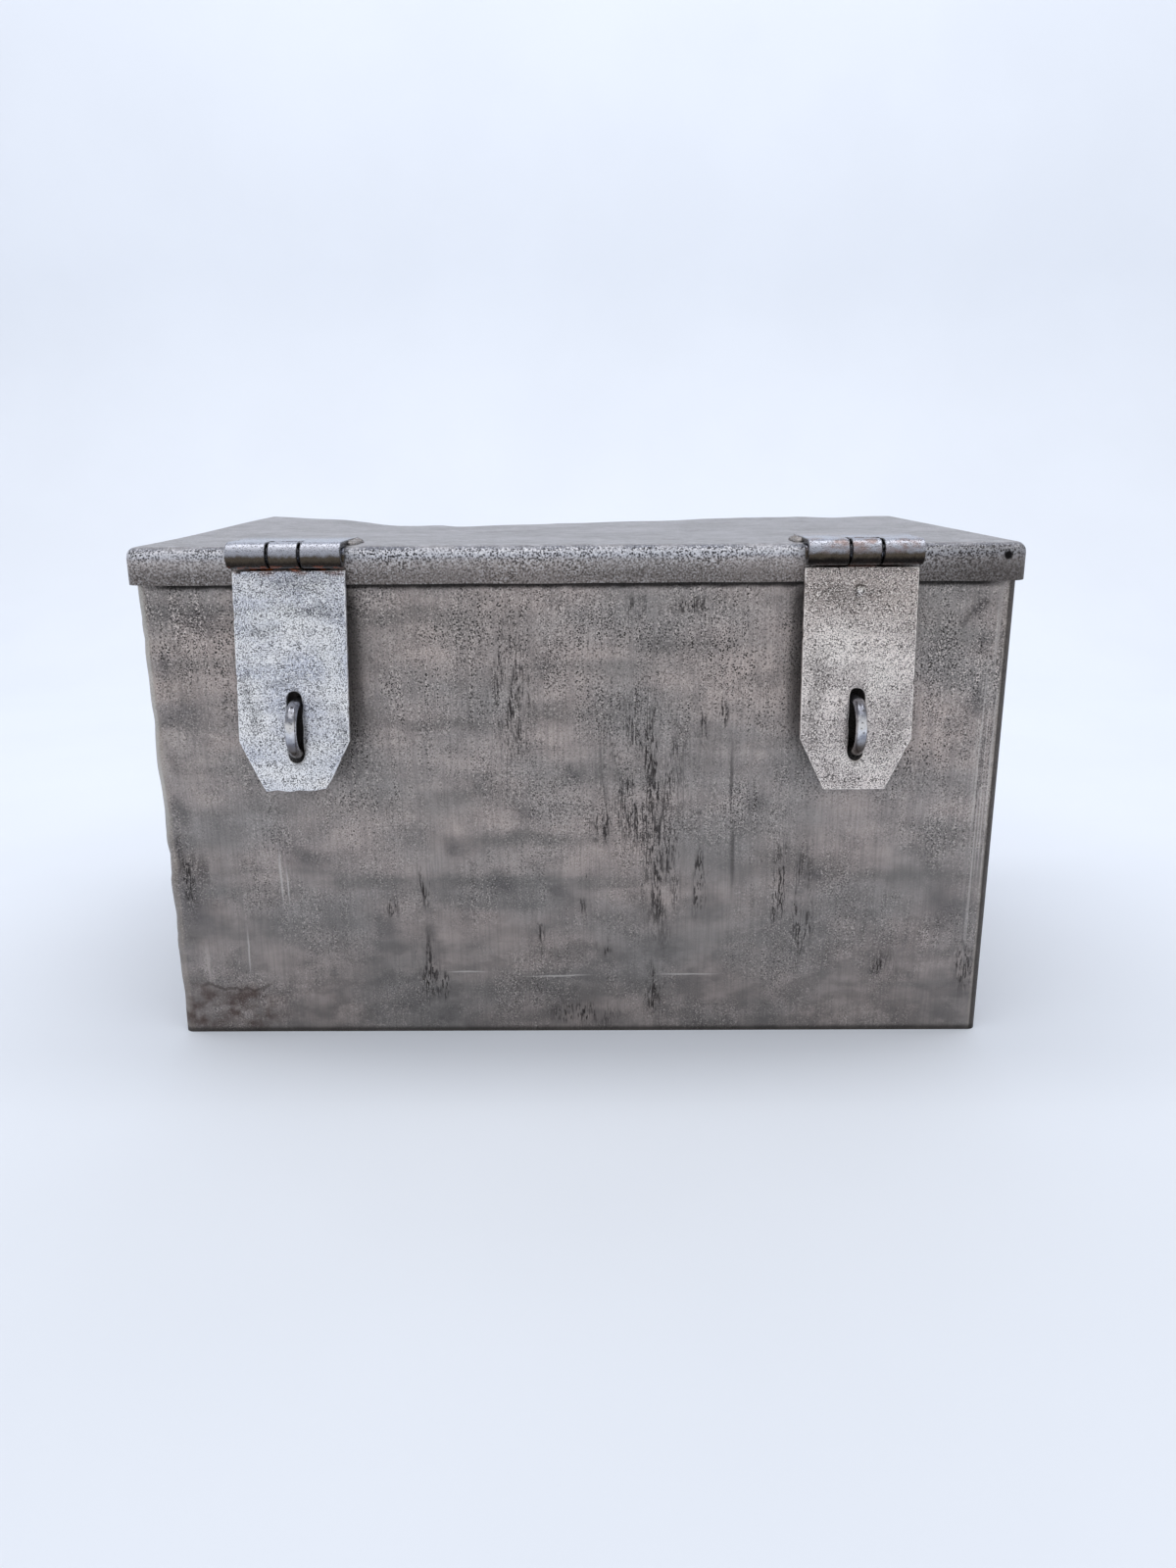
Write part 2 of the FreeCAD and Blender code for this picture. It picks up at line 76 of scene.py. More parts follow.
# How finely each kind of piece is cut before it is worn, and how its edges are rounded
SHEET_GRID = (0.006, 0.006, 0.004)
STRAP_GRID = (0.0013,) * 3
LEAF_GRID = (0.0018,) * 3
BEAD_GRID = (0.0008,) * 3
SAME_POINT = 0.000002
FLAT_ANGLE = math.radians(0.6)
SHARP_ANGLE = math.radians(28)
BEND_ANGLE = math.radians(2.5)
EDGE_STEP = 0.001
EDGE_ROUND = 0.0005
BEVEL = {"segments": 2, "profile": 0.5, "affect": "EDGES", "clamp_overlap": True}
WAVE_COUNT = 24
WAVE_RATE_SHARES = (0.6, 1.6)


def smooth(value, low, high):
    """0 below low and 1 above high, with a smooth rise between them."""
    share = np.clip((value - low) / (high - low), 0, 1)
    return share * share * (3 - 2 * share)


def fade(value, low, high):
    """1 below low and 0 above high, with a smooth fall between them."""
    return 1 - smooth(value, low, high)


def hill(value, middle, reach):
    """1 at the middle, falling away to both sides over about this reach."""
    return np.exp(-(((value - middle) / reach) ** 2))


def waves(points, size, seed):
    """A smooth random field of about this wavelength, with a spread of 1."""
    draw = np.random.default_rng(seed)
    ways = draw.normal(size=(WAVE_COUNT, 3))
    ways /= np.linalg.norm(ways, axis=1, keepdims=True)
    rates = draw.uniform(*WAVE_RATE_SHARES, WAVE_COUNT) * math.tau / size
    angles = points @ (ways * rates[:, None]).T + draw.uniform(0, math.tau, WAVE_COUNT)
    return np.sin(angles).sum(axis=1) / math.sqrt(WAVE_COUNT / 2)


def read_vectors(items, name):
    """This vector of each item, as rows of an array."""
    values = np.zeros(len(items) * 3)
    items.foreach_get(name, values)
    return values.reshape(-1, 3)


def write_points(mesh, points):
    """Moves the mesh's vertices to these places."""
    mesh.vertices.foreach_set("co", points.ravel())
    mesh.update()


def edge_points(grid, least_angle):
    """Places along the convex edges that turn by more than this angle."""
    places = []
    for edge in grid.edges:
        if edge.is_manifold and edge.calc_face_angle_signed() > least_angle:
            first, last = (vertex.co for vertex in edge.verts)
            steps = max(1, round(edge.calc_length() / EDGE_STEP))
            places += [first.lerp(last, step / steps) for step in range(steps + 1)]
    return places


def write_edge_distance(mesh, places):
    """Gives each vertex its distance from the nearest of these places."""
    tree = KDTree(len(places))
    for index, place in enumerate(places):
        tree.insert(place, index)
    tree.balance()
    distances = np.array([tree.find(vertex.co)[2] for vertex in mesh.vertices], dtype=np.float32)
    mesh.attributes.new("edge_distance", "FLOAT", "POINT").data.foreach_set("value", distances)
    return distances


def add_object(name, data):
    """A new object in the scene."""
    made = bpy.data.objects.new(name, data)
    bpy.context.scene.collection.objects.link(made)
    return made


def add_piece(node, grid):
    """A smooth object made from a bmesh, named after the CAD node that it stands for."""
    mesh = bpy.data.meshes.new(f"{node}_worn")
    grid.to_mesh(mesh)
    grid.free()
    mesh.shade_smooth()
    return add_object(mesh.name, mesh)


def dense_copy(node, spacing, edge_round, edge_angle):
    """A copy of a CAD node with rounded edges, cut into a grid fine enough to dent and nick."""
    grid = bmesh.new()
    grid.from_mesh(frame["nodes"][node].data)
    bmesh.ops.remove_doubles(grid, verts=grid.verts, dist=SAME_POINT)
    bmesh.ops.dissolve_limit(grid, angle_limit=FLAT_ANGLE, verts=grid.verts, edges=grid.edges)
    bmesh.ops.recalc_face_normals(grid, faces=grid.faces)
    places = edge_points(grid, edge_angle)
    if edge_round:
        closed = [edge for edge in grid.edges if edge.is_manifold]
        sharp = [edge for edge in closed if abs(edge.calc_face_angle()) > SHARP_ANGLE]
        bmesh.ops.bevel(grid, geom=sharp, offset=edge_round, **BEVEL)
    corners = np.array([vertex.co for vertex in grid.verts])
    for axis in range(3):
        normal = Vector(np.eye(3)[axis])
        low, high = corners[:, axis].min(), corners[:, axis].max()
        for place in np.arange(low + spacing[axis] / 2, high, spacing[axis]):
            cut = {"plane_co": normal * place, "plane_no": normal}
            everything = grid.verts[:] + grid.edges[:] + grid.faces[:]
            bmesh.ops.bisect_plane(grid, geom=everything, dist=SAME_POINT, **cut)
    bmesh.ops.triangulate(grid, faces=[face for face in grid.faces if len(face.verts) > 4])
    piece = add_piece(node, grid)
    piece.data.set_sharp_from_angle(angle=SHARP_ANGLE)
    return piece, write_edge_distance(piece.data, places)


# Materials
def srgb(red, green, blue):
    """A screen colour of 0 to 255 as a linear colour."""
    shares = [value / 255 for value in (red, green, blue)]
    return [s / 12.92 if s <= 0.04045 else ((s + 0.055) / 1.055) ** 2.4 for s in shares] + [1.0]


def millimetres(core_share, spots):
    """Marks whose places and half sizes are given in millimetres."""
    return core_share, [[length / 1000 for length in spot] for spot in spots]


WALL_DEPTH = 0.05
PIT_CELL_SHARE = 0.5
PIT_RIM_SHARES = (0.14, -0.04)
PUSH_DETAIL = 3.0


class Look:
    """A material's nodes, with a short call for each kind that these materials use."""

    def __init__(self, name):
        self.material = bpy.data.materials.new(name)
        self.material.use_nodes = True
        self.tree = self.material.node_tree
        self.shader = self.tree.nodes["Principled BSDF"]
        coordinates = self.node("ShaderNodeTexCoord").outputs
        self.place = coordinates["Object"]
        self.facing = coordinates["Normal"]
        self.colour = None

    def node(self, kind, inputs=None, **settings):
        """A new node with these settings, and with values or links on its inputs."""
        made = self.tree.nodes.new(kind)
        for name, value in settings.items():
            setattr(made, name, value)
        for socket, value in (inputs or {}).items():
            self.feed(made.inputs[socket], value)
        return made

    def feed(self, socket, value):
        """Links a socket, or sets its constant value."""
        if isinstance(value, bpy.types.NodeSocket):
            self.tree.links.new(value, socket)
        else:
            socket.default_value = value

    def math(self, operation, first, second=0.0):
        """One sum of two values."""
        return self.node("ShaderNodeMath", {0: first, 1: second}, operation=operation).outputs[0]

    def fold(self, operation, values):
        """One operation carried along these values."""
        result = values[0]
        for value in values[1:]:
            result = self.math(operation, result, value)
        return result

    def plus(self, *values):
        """The sum of these values."""
        return self.fold("ADD", values)

    def minus(self, *values):
        """The first value less all the others."""
        return self.fold("SUBTRACT", values)

    def times(self, *shares):
        """The product of these shares."""
        return self.fold("MULTIPLY", shares)

    def most(self, *shares):
        """The largest of these shares."""
        return self.fold("MAXIMUM", shares)

    def apart(self, first, second):
        """How far two values lie from each other."""
        return self.math("ABSOLUTE", self.minus(first, second))

    def scaled(self, value, share, least):
        """This share of a value, on top of the least one."""
        return self.plus(self.times(value, share), least)

    def vector(self, operation, first, second):
        """One sum of two vectors."""
        return self.node("ShaderNodeVectorMath", {0: first, 1: second}, operation=operation).outputs[0]

    def noise(self, size, detail, seed, turn=0.0, output="Fac"):
        """Noise from 0 to 1 with grains of this size along x, y and z, perhaps turned about z."""
        place = self.place
        if turn:
            place = self.node("ShaderNodeVectorRotate", {"Vector": place, "Angle": turn}).outputs[0]
        scaled = self.vector("MULTIPLY", place, [1 / length for length in size])
        inputs = {"Vector": scaled, "W": seed, "Scale": 1.0, "Detail": detail}
        return self.node("ShaderNodeTexNoise", inputs, noise_dimensions="4D").outputs[output]

    def cover(self, size, detail, seed, low, high, turn=0.0):
        """Noise as a mask: 0 where it is as small as low, and 1 where it reaches high."""
        return self.between(self.noise(size, detail, seed, turn), low, high)

    def ragged(self, size, detail, seed, reach):
        """Noise from 0 to this reach, for ragged outlines."""
        return self.times(self.noise(size, detail, seed), reach)

    def wavy(self, size, reach, seed):
        """The place, pushed about by noise, so that marks get ragged outlines."""
        noise = self.noise((size,) * 3, PUSH_DETAIL, seed, output="Color")
        push = self.vector("SUBTRACT", noise, (0.5, 0.5, 0.5))
        return self.vector("ADD", self.place, self.vector("MULTIPLY", push, (reach, reach, reach)))

    def pits(self, size):
        """Small round pits of mixed widths, about one in each cell of this size."""
        scaled = self.vector("MULTIPLY", self.place, [1 / size] * 3)
        cell = self.node("ShaderNodeTexVoronoi", {"Vector": scaled, "Scale": 1.0}).outputs
        rim = self.minus(cell["Distance"], self.times(cell["Color"], PIT_CELL_SHARE))
        return self.between(rim, *PIT_RIM_SHARES)

    def between(self, value, low, high):
        """0 at low and 1 at high, with a smooth rise or fall between them."""
        flipped = low > high
        ends = {"From Min": min(low, high), "From Max": max(low, high)}
        ends |= {"To Min": float(flipped), "To Max": float(not flipped), "Value": value}
        return self.node("ShaderNodeMapRange", ends, interpolation_type="SMOOTHSTEP").outputs[0]

    def blend(self, share, first, second):
        """The first colour with this share of the second one."""
        made = self.node("ShaderNodeMix", data_type="RGBA")
        for socket, value in zip((0, 6, 7), (share, first, second)):
            self.feed(made.inputs[socket], srgb(*value) if isinstance(value, tuple) else value)
        return made.outputs[2]

    def paint(self, coat, *masks):
        """Puts a coat over the colour so far, where all these masks allow it."""
        share, over = coat
        self.colour = self.blend(self.times(*masks, share), self.colour, over)

    def paint_noise(self, layer, *masks):
        """Paints a coat in the pattern of a noise."""
        noise, coat = layer
        self.paint(coat, self.cover(*noise), *masks)

    def paint_ramp(self, value, layer, *masks):
        """Paints a coat that sets in along a value, from one end to the other."""
        ends, coat = layer
        self.paint(coat, self.between(value, *ends), *masks)

    def keep(self, mask, bare):
        """Keeps what was painted since the bare colour only where this mask allows it."""
        self.colour = self.blend(mask, bare, self.colour)

    def marks(self, core_share, spots, place=None, wall=BODY_LOW.y):
        """Soft patches on a wall that faces forward: 1 in their cores and 0 outside them."""
        shares = []
        for x, z, half_x, half_z in spots:
            moved = self.vector("SUBTRACT", place or self.place, (x, wall, z))
            scaled = self.vector("MULTIPLY", moved, (1 / half_x, 1 / WALL_DEPTH, 1 / half_z))
            length = self.node("ShaderNodeVectorMath", {0: scaled}, operation="LENGTH").outputs["Value"]
            shares.append(self.between(length, 1.0, core_share))
        return self.most(*shares)

    def side(self, name):
        """The share of the surface that faces along X, Y or Z, from -1 to 1."""
        return self.node("ShaderNodeSeparateXYZ", {0: self.facing}).outputs[name]

    def axis(self, name):
        """The place along X, Y or Z."""
        return self.node("ShaderNodeSeparateXYZ", {0: self.place}).outputs[name]

    def off_middle(self):
        """How far the place is to the left or right of the middle."""
        return self.math("ABSOLUTE", self.axis("X"))

    def done(self, roughness, height=0.0, depth=0.0, metallic=0.0):
        """The material, with its shader fed and with bumps of this depth."""
        bump = self.node("ShaderNodeBump", {"Height": height, "Distance": depth, "Strength": 1.0}).outputs[0]
        inputs = {"Base Color": self.colour, "Roughness": roughness, "Metallic": metallic, "Normal": bump}
        for name, value in inputs.items():
            self.feed(self.shader.inputs[name], value)
        return self.material


# In the values below, a noise is the size of its grains, its detail, its seed and where it turns to 0 and 1,
# a coat is the share that it covers and its colour, a push is its size, reach and seed, a speckle is the size
# of its pits and where its light and dark grains set in, and marks are the share that is core and, for each
# mark, its middle x and z, half width and half height.

# Coats that several finishes share
DRIFT = ((0.08, 0.08, 0.05), 5, 0, 0.34, 0.66)
MILL_BANDS = ((0.20, 0.20, 0.022), 4, 3, 0.48, 0.72)
GRIT_SHARE = 0.8
GRIT_NOISE = (1.0, 7.0)
HOLLOW_SHARE = 0.9
PIT_DEPTH_SHARE = 0.6
BODY_SPECKLE = (0.0012, (0.52, 0.68), (0.44, 0.30))
LID_SPECKLE = (0.0013, (0.53, 0.64), (0.455, 0.365))
BAR_SPECKLE = (0.0009, (0.52, 0.63), (0.490, 0.395))
WEAR_NOISE = ((0.006,) * 3, 3, 5)
LEFT_PLACES = (0.05, -0.05)
LEFT_RUST_SHARES = (0.92, 0.08)
ROUGH_SHARE = 0.2
SHEET_ROUGHNESS = 0.42
SHEET_BUMP = 0.00018
METAL_SHARE = 0.85


def drifting_steel(look, warm, cool, haze):
    """Bare steel whose colour drifts, with long hazy bands from the rolling mill."""
    look.colour = look.blend(look.cover(*DRIFT), cool, warm)
    look.paint(haze, look.cover(*MILL_BANDS))


def add_speckle(look, where, dark, light, size, light_ends, dark_ends):
    """Fine dark pits and bright grains, as strong as this mask allows; gives their relief."""
    pits = look.pits(size)
    grit = look.noise((size * GRIT_SHARE,) * 3, *GRIT_NOISE)
    look.paint(light, look.between(grit, *light_ends), where)
    hollows = look.most(pits, look.times(look.between(grit, *dark_ends), HOLLOW_SHARE))
    look.paint(dark, hollows, where)
    return look.minus(grit, look.times(pits, PIT_DEPTH_SHARE))


def add_wear(look, reach, bright):
    """Bright bare metal along the edges."""
    ragged = look.ragged(*WEAR_NOISE, 2 * reach)
    distance = look.node("ShaderNodeAttribute", attribute_name="edge_distance").outputs["Fac"]
    look.paint(bright, look.between(look.minus(distance, ragged), 0.0, -reach))


def rust_strength(look):
    """Rust is bright at the left hasp and dull at the right one."""
    return look.scaled(look.between(look.axis("X"), *LEFT_PLACES), *LEFT_RUST_SHARES)


# Marks on the front wall
PIT_CLUSTERS = millimetres(0.3, [
    (-37, 216, 18, 62), (-41, 212, 8, 30), (34, 266, 9, 10), (66, 268, 14, 8), (39, 167, 36, 74),
    (72, 197, 6, 16), (86, 205, 5, 10), (15, 136, 14, 17), (50, 110, 17, 72), (4, 95, 5, 28),
    (73, 102, 9, 34), (122, 90, 7, 62), (137, 84, 10, 56), (-94, 96, 6, 20), (-94, 44, 10, 36),
    (-24, 60, 6, 18), (15, 57, 8, 10), (47, 26, 8, 30), (4, 12, 30, 12), (240, 45, 10, 26),
    (190, 42, 12, 18), (-237, 104, 7, 30), (-113, 83, 6, 10), (-85, 30, 6, 14),
])
# Smudges; the ones along the left edge are painted shade in its dents
SMUDGES_AND_DENT_SHADE = millimetres(0.0, [
    (-74, 121, 12, 10), (-29, 143, 10, 10), (-11, 92, 10, 10), (-45, 100, 18, 9), (106, 150, 13, 12),
    (146, 104, 17, 9), (-20, 235, 9, 9), (-3, 170, 9, 9), (-238, 146, 9, 14), (-236, 92, 20, 50),
    (-226, 205, 26, 14), (-216, 262, 40, 12), (230, 266, 8, 10), (-165, 118, 22, 16), (-118, 70, 10, 10),
    (235, 245, 8, 12), (233, 211, 10, 17), (225, 85, 22, 30),
])
SMEARS = millimetres(0.2, [
    (221, 256, 3.5, 4), (223, 259, 3.5, 4), (225, 262, 3.5, 4), (227.5, 264.5, 3.5, 4), (230, 267, 3.5, 4),
    (233, 269, 3.5, 4), (244, 235, 2.2, 42), (238, 170, 1.8, 50), (246, 120, 2, 70), (-238, 236, 4, 12),
    (-242, 120, 4, 22), (-228, 108, 6, 14), (244.5, 251, 2, 8), (239.5, 187, 3, 4),
])
HAZE_BANDS = millimetres(0.0, [
    (-5, 204, 75, 13), (-47, 127, 100, 9), (128, 111, 60, 16), (-61, 102, 50, 8), (-79, 200, 75, 8),
    (-100, 264, 100, 10), (-55, 158, 50, 9), (185, 104, 70, 9), (-128, 100, 40, 9), (60, 244, 60, 10),
    (0, 30, 130, 12),
])
SCRATCHES = millimetres(0.2, [
    (-70, 40.5, 16, 0.8), (-13, 38, 26, 0.9), (67, 39, 26, 0.8), (-180.9, 105, 1.1, 26),
    (-177, 98, 0.8, 16), (-205, 55, 0.8, 20),
])
DARK_RUNS = millimetres(0.2, [(91.5, 165, 1.6, 38), (93.5, 118, 2.2, 34), (73, 144, 2.6, 2.6)])
# Painted highlights on the dented left edge
DENT_HIGHLIGHTS = millimetres(0.0, [(-231, 46, 7, 20), (-246, 176, 6, 16), (-236, 190, 12, 10)])
GRAINY = millimetres(0.2, [(215, 235, 40, 60), (-220, 250, 30, 40)])
RUBBED = millimetres(0.4, [(240, 165, 7.5, 150)])
STAINS = millimetres(0.2, [(-236, 14, 26, 26), (-206, 16, 32, 20)])
STAIN_RIM = millimetres(0.3, [(-212, 31, 36, 16)])
# Dark rings round the staples: partly grease, partly painted shade that shows black through the slots
STAPLE_SHADE_RINGS = (0.3, [(side * HASP_X, STAPLE_Z, 0.022, 0.046) for side in SIDES.values()])

# Raw sheet of the walls
BODY_WARM = (190, 177, 171)
BODY_COOL = (160, 155, 152)
BODY_HAZE = (0.7, (128, 126, 123))
MOTTLE = (((0.022, 0.022, 0.013), 6, 12, 0.40, 0.66), (0.42, (118, 114, 112)))
LOW_HEIGHTS = (0.17, 0.0)
LOW_COAT = (0.42, (96, 96, 95))
CLOUDS = (((0.016, 0.016, 0.010), 5, 15, 0.42, 0.62), (0.38, (74, 72, 73)))
FRONT_FACING = (-0.3, -0.7)
FRONT_DEPTHS = (-0.12, -0.14)
UPPER_HEIGHTS = (0.05, 0.26)
UPPER_SHARE = 0.52
GRAIN_PATCHES = ((0.05, 0.05, 0.04), 3, 11, 0.36, 0.62)
GRAIN_PATCH_SHARE = 0.62
GRAINY_SHARE = 0.45
GRAIN_ROWS = ((0.0022, 0.0022, 0.060), 3, 14, 0.36, 0.60)
GRAIN_ROW_SHARES = (0.75, 0.55)
BODY_DARK = (0.82, (56, 52, 50))
BODY_LIGHT = (0.6, (228, 218, 212))
BRUSH = (((0.0013, 0.0013, 0.030), 2, 13, 0.40, 0.70), (0.30, (108, 104, 103)))
STREAK_COAT = (0.9, (46, 42, 41))
THIN_PUSH = (0.02, 0.002, 31)
SCRATCH_COAT = (0.5, (214, 209, 205))
RUB_LINES = (((0.0014, 0.0014, 0.12), 2, 16, 0.48, 0.58), (0.42, (216, 210, 205)))
BODY_WEAR_REACH = 0.0014
BODY_WEAR = (0.22, (190, 180, 168))
PAINTED_SHADE_COAT = (1.0, (22, 20, 19))
WELD_RING = ((0.0, 0.4), (0.55, (84, 76, 74)))
WELD_CORE = ((0.5, 0.8), (0.55, (176, 172, 170)))
WELD_DEPTH_SHARE = 2.0
# Painted contact shadow along the foot of the walls
FOOT_SHADE = ((0.0045, 0.0015), (0.75, (46, 43, 40)))


def body_grain(look, height, front):
    """How strongly the walls are speckled: more above, in patches and in upright rows."""
    upper = look.times(look.between(height, *UPPER_HEIGHTS), UPPER_SHARE)
    where = look.plus(upper, look.times(look.cover(*GRAIN_PATCHES), GRAIN_PATCH_SHARE))
    where = look.plus(where, look.times(look.marks(*GRAINY), front, GRAINY_SHARE))
    return look.times(where, look.scaled(look.cover(*GRAIN_ROWS), *GRAIN_ROW_SHARES))


def body_finish():
    """Raw sheet of the walls: mottled, pitted and brushed, with the front's own marks."""
    look = Look("raw_body_sheet")
    height = look.axis("Z")
    low = look.between(height, *LOW_HEIGHTS)
    outward = look.between(look.side("Y"), *FRONT_FACING)
    front = look.times(outward, look.between(look.axis("Y"), *FRONT_DEPTHS))
    drifting_steel(look, BODY_WARM, BODY_COOL, BODY_HAZE)
    look.paint_noise(MOTTLE)
    look.paint(LOW_COAT, low)
    look.paint_noise(CLOUDS, low)
    add_haze(look, front)
    where = body_grain(look, height, front)
    relief = add_speckle(look, where, BODY_DARK, BODY_LIGHT, *BODY_SPECKLE)
    look.paint_noise(BRUSH)
    streaks = add_streaks(look)
    look.paint(STREAK_COAT, streaks, front)
    look.paint(SCRATCH_COAT, look.marks(*SCRATCHES, look.wavy(*THIN_PUSH)), front)
    look.paint_noise(RUB_LINES, look.marks(*RUBBED), front)
    add_wear(look, BODY_WEAR_REACH, BODY_WEAR)
    # Painted shade on the right front bend and a painted highlight on the left one
    add_bend_shade_and_highlight(look, height)
    add_stain(look, height, front)
    # Painted shade under the lid's lip, beside the straps and round the staples
    look.paint(PAINTED_SHADE_COAT, add_painted_shade(look, height), front)
    welds = add_spot_welds(look, height)
    look.paint_ramp(welds, WELD_RING)
    look.paint_ramp(welds, WELD_CORE)
    # Painted contact shadow along the foot
    look.paint_ramp(height, FOOT_SHADE)
    relief = look.minus(relief, streaks, look.times(welds, WELD_DEPTH_SHARE))
    roughness = look.scaled(relief, ROUGH_SHARE, SHEET_ROUGHNESS)
    return look.done(roughness, relief, SHEET_BUMP, METAL_SHARE)


# Spot welds of the rear flanges
REAR_FLANGE = 0.020
REAR_DEPTHS = BODY_HIGH.y - np.array((0.004, 0.002))
SPOT_X = (BODY_HIGH.x - REAR_FLANGE + PANEL_EDGE) / 2
SPOT_STEP = 0.050
SPOT_RADII = (0.0042, 0.0012)


def add_spot_welds(look, height):
    """Round spot welds down the middle of the rear flanges."""
    rear = look.between(look.axis("Y"), *REAR_DEPTHS)
    offsets = look.minus(look.off_middle(), SPOT_X), look.math("PINGPONG", height, SPOT_STEP / 2)
    squares = [look.math("POWER", offset, 2.0) for offset in offsets]
    off_spot = look.math("SQRT", look.plus(*squares))
    return look.times(look.between(off_spot, *SPOT_RADII), rear)


# Painted shade and highlight on the upright bends at the front
BEND_FACING = (-0.02, -0.15)
RIGHT_BEND_SHADE = ((0.03, 0.22), (0.78, (48, 44, 42)))
LEFT_BEND_HIGHLIGHT = ((-0.10, -0.40), (0.5, (208, 205, 198)))
LEFT_HEIGHTS = (0.10, 0.16)


def add_bend_shade_and_highlight(look, height):
    """The upright front bends: painted shade at the right and a painted highlight at the left."""
    across = look.side("X")
    bend = look.between(look.side("Y"), *BEND_FACING)
    look.paint_ramp(across, RIGHT_BEND_SHADE, bend)
    look.paint_ramp(across, LEFT_BEND_HIGHLIGHT, bend, look.between(height, *LEFT_HEIGHTS))


# Haze on the front, with painted shade and painted highlights on the dented left edge
HAZE_PUSH = (0.018, 0.020, 33)
HAZE_COAT = (0.54, (104, 102, 100))
SMUDGE_AND_DENT_SHADE_COAT = (0.55, (82, 80, 82))
SMEAR_PUSH = (0.006, 0.006, 34)
SMEAR_COAT = (0.6, (70, 66, 66))
DENT_HIGHLIGHT_COAT = (0.5, (200, 190, 184))


def add_haze(look, front):
    """Cloudy bands, smudges and smears on the front; at the dented left edge, painted shade and painted
    highlights.
    """
    bare = look.colour
    place = look.wavy(*HAZE_PUSH)
    look.paint(HAZE_COAT, look.marks(*HAZE_BANDS, place))
    look.paint(SMUDGE_AND_DENT_SHADE_COAT, look.marks(*SMUDGES_AND_DENT_SHADE, place))
    look.paint(SMEAR_COAT, look.marks(*SMEARS, look.wavy(*SMEAR_PUSH)))
    look.paint(DENT_HIGHLIGHT_COAT, look.marks(*DENT_HIGHLIGHTS, place))
    look.keep(front, bare)


# Dark streaks on the front
COLUMNS = ((0.0009, 0.0009, 0.020), 2, 17, 0.505, 0.565)
SPECKS = ((0.0011, 0.0011, 0.0052), 2, 19, 0.52, 0.59)
BREAKS = ((0.004, 0.004, 0.009), 2, 21, 0.34, 0.56)
GAPS = ((0.006, 0.006, 0.026), 2, 23, 0.38, 0.56)
CLUSTER_PUSH = (0.02, 0.010, 35)
RUN_SHARE = 0.6


def add_streaks(look):
    """Clusters of short dark upright dashes, and two long dark runs."""
    dashes = look.most(look.times(look.cover(*COLUMNS), look.cover(*BREAKS)), look.cover(*SPECKS))
    clusters = look.marks(*PIT_CLUSTERS, look.wavy(*CLUSTER_PUSH))
    runs = look.times(look.marks(*DARK_RUNS, look.wavy(*THIN_PUSH)), RUN_SHARE)
    return look.most(look.times(dashes, clusters, look.cover(*GAPS)), runs)


# Water stain in the lower left corner
STAIN_PUSH = (0.016, 0.020, 37)
BLOTCHES = (((0.012, 0.012, 0.010), 4, 27, 0.34, 0.62), (0.90, (74, 57, 51)))
STAIN_FOOT = 0.0165
STAIN_WAVES = ((0.018, 0.018, 0.2), 3, 29, 0.030)
STAIN_RIM_REACHES = (0.0016, 0.0004)
STAIN_RIM_COAT = (0.55, (62, 52, 48))


def add_stain(look, height, front):
    """The brown water stain in the lower left corner, with its dark wavy rim."""
    bare = look.colour
    place = look.wavy(*STAIN_PUSH)
    look.paint_noise(BLOTCHES, look.marks(*STAINS, place))
    line = look.plus(look.ragged(*STAIN_WAVES), STAIN_FOOT)
    rim = look.between(look.apart(line, height), *STAIN_RIM_REACHES)
    look.paint(STAIN_RIM_COAT, rim, look.marks(*STAIN_RIM, place))
    look.keep(front, bare)


# Painted shade on the front
SHADE_PUSH = (0.012, 0.012, 39)
# The painted shadow line under the lid's lip
LIP_DROP = 0.0008
LIP_NOISE = ((0.010,) * 3, 4, 38, 0.0030)
LIP_REACHES = (0.0052, 0.0022)
LIP_ENDS = BODY_HIGH.x - np.array((0.0, 0.02))
LIP_SHARE = 0.92
# The painted shadow behind the straps and along their inner edges
STRAP_INSET = 0.002
STRAP_REACHES = (0.042, 0.022)
BELOW_LID = LID_LOW.z + np.array((0.004, -0.010))
ABOVE_TIP = STRAP_TIP + np.array((-0.006, 0.040))
BEHIND_SHARE = 0.55
EDGE_HEIGHTS = STRAP_TIP + np.array((0.0, 0.060))
EDGE_REACHES = (0.009, 0.001)
EDGE_SHARE = 0.65
RING_SHARE = 0.95


def add_painted_shade(look, height):
    """Painted shade: a shadow line under the lid's lip, shadows behind the straps and along their inner
    edges, and dark rings round the staples, partly grease and partly painted shade.
    """
    place = look.wavy(*SHADE_PUSH)
    ragged = look.node("ShaderNodeSeparateXYZ", {0: place}).outputs
    across = look.off_middle()
    off_lip = look.plus(look.apart(height, LID_LOW.z - LIP_DROP), look.ragged(*LIP_NOISE))
    lip = look.times(look.between(off_lip, *LIP_REACHES), look.between(across, *LIP_ENDS), LIP_SHARE)
    off_strap = look.apart(look.math("ABSOLUTE", ragged["X"]), HASP_X - STRAP_INSET)
    below_lid = look.between(ragged["Z"], *BELOW_LID)
    above_tip = look.between(ragged["Z"], *ABOVE_TIP)
    behind = look.times(look.between(off_strap, *STRAP_REACHES), above_tip, below_lid, BEHIND_SHARE)
    along = look.times(look.between(height, *EDGE_HEIGHTS), below_lid)
    off_edge = look.apart(across, INNER_EDGE)
    edge_shade = look.times(look.between(off_edge, *EDGE_REACHES), along, EDGE_SHARE)
    return look.most(lip, behind, edge_shade, look.times(look.marks(*STAPLE_SHADE_RINGS, place), RING_SHARE))


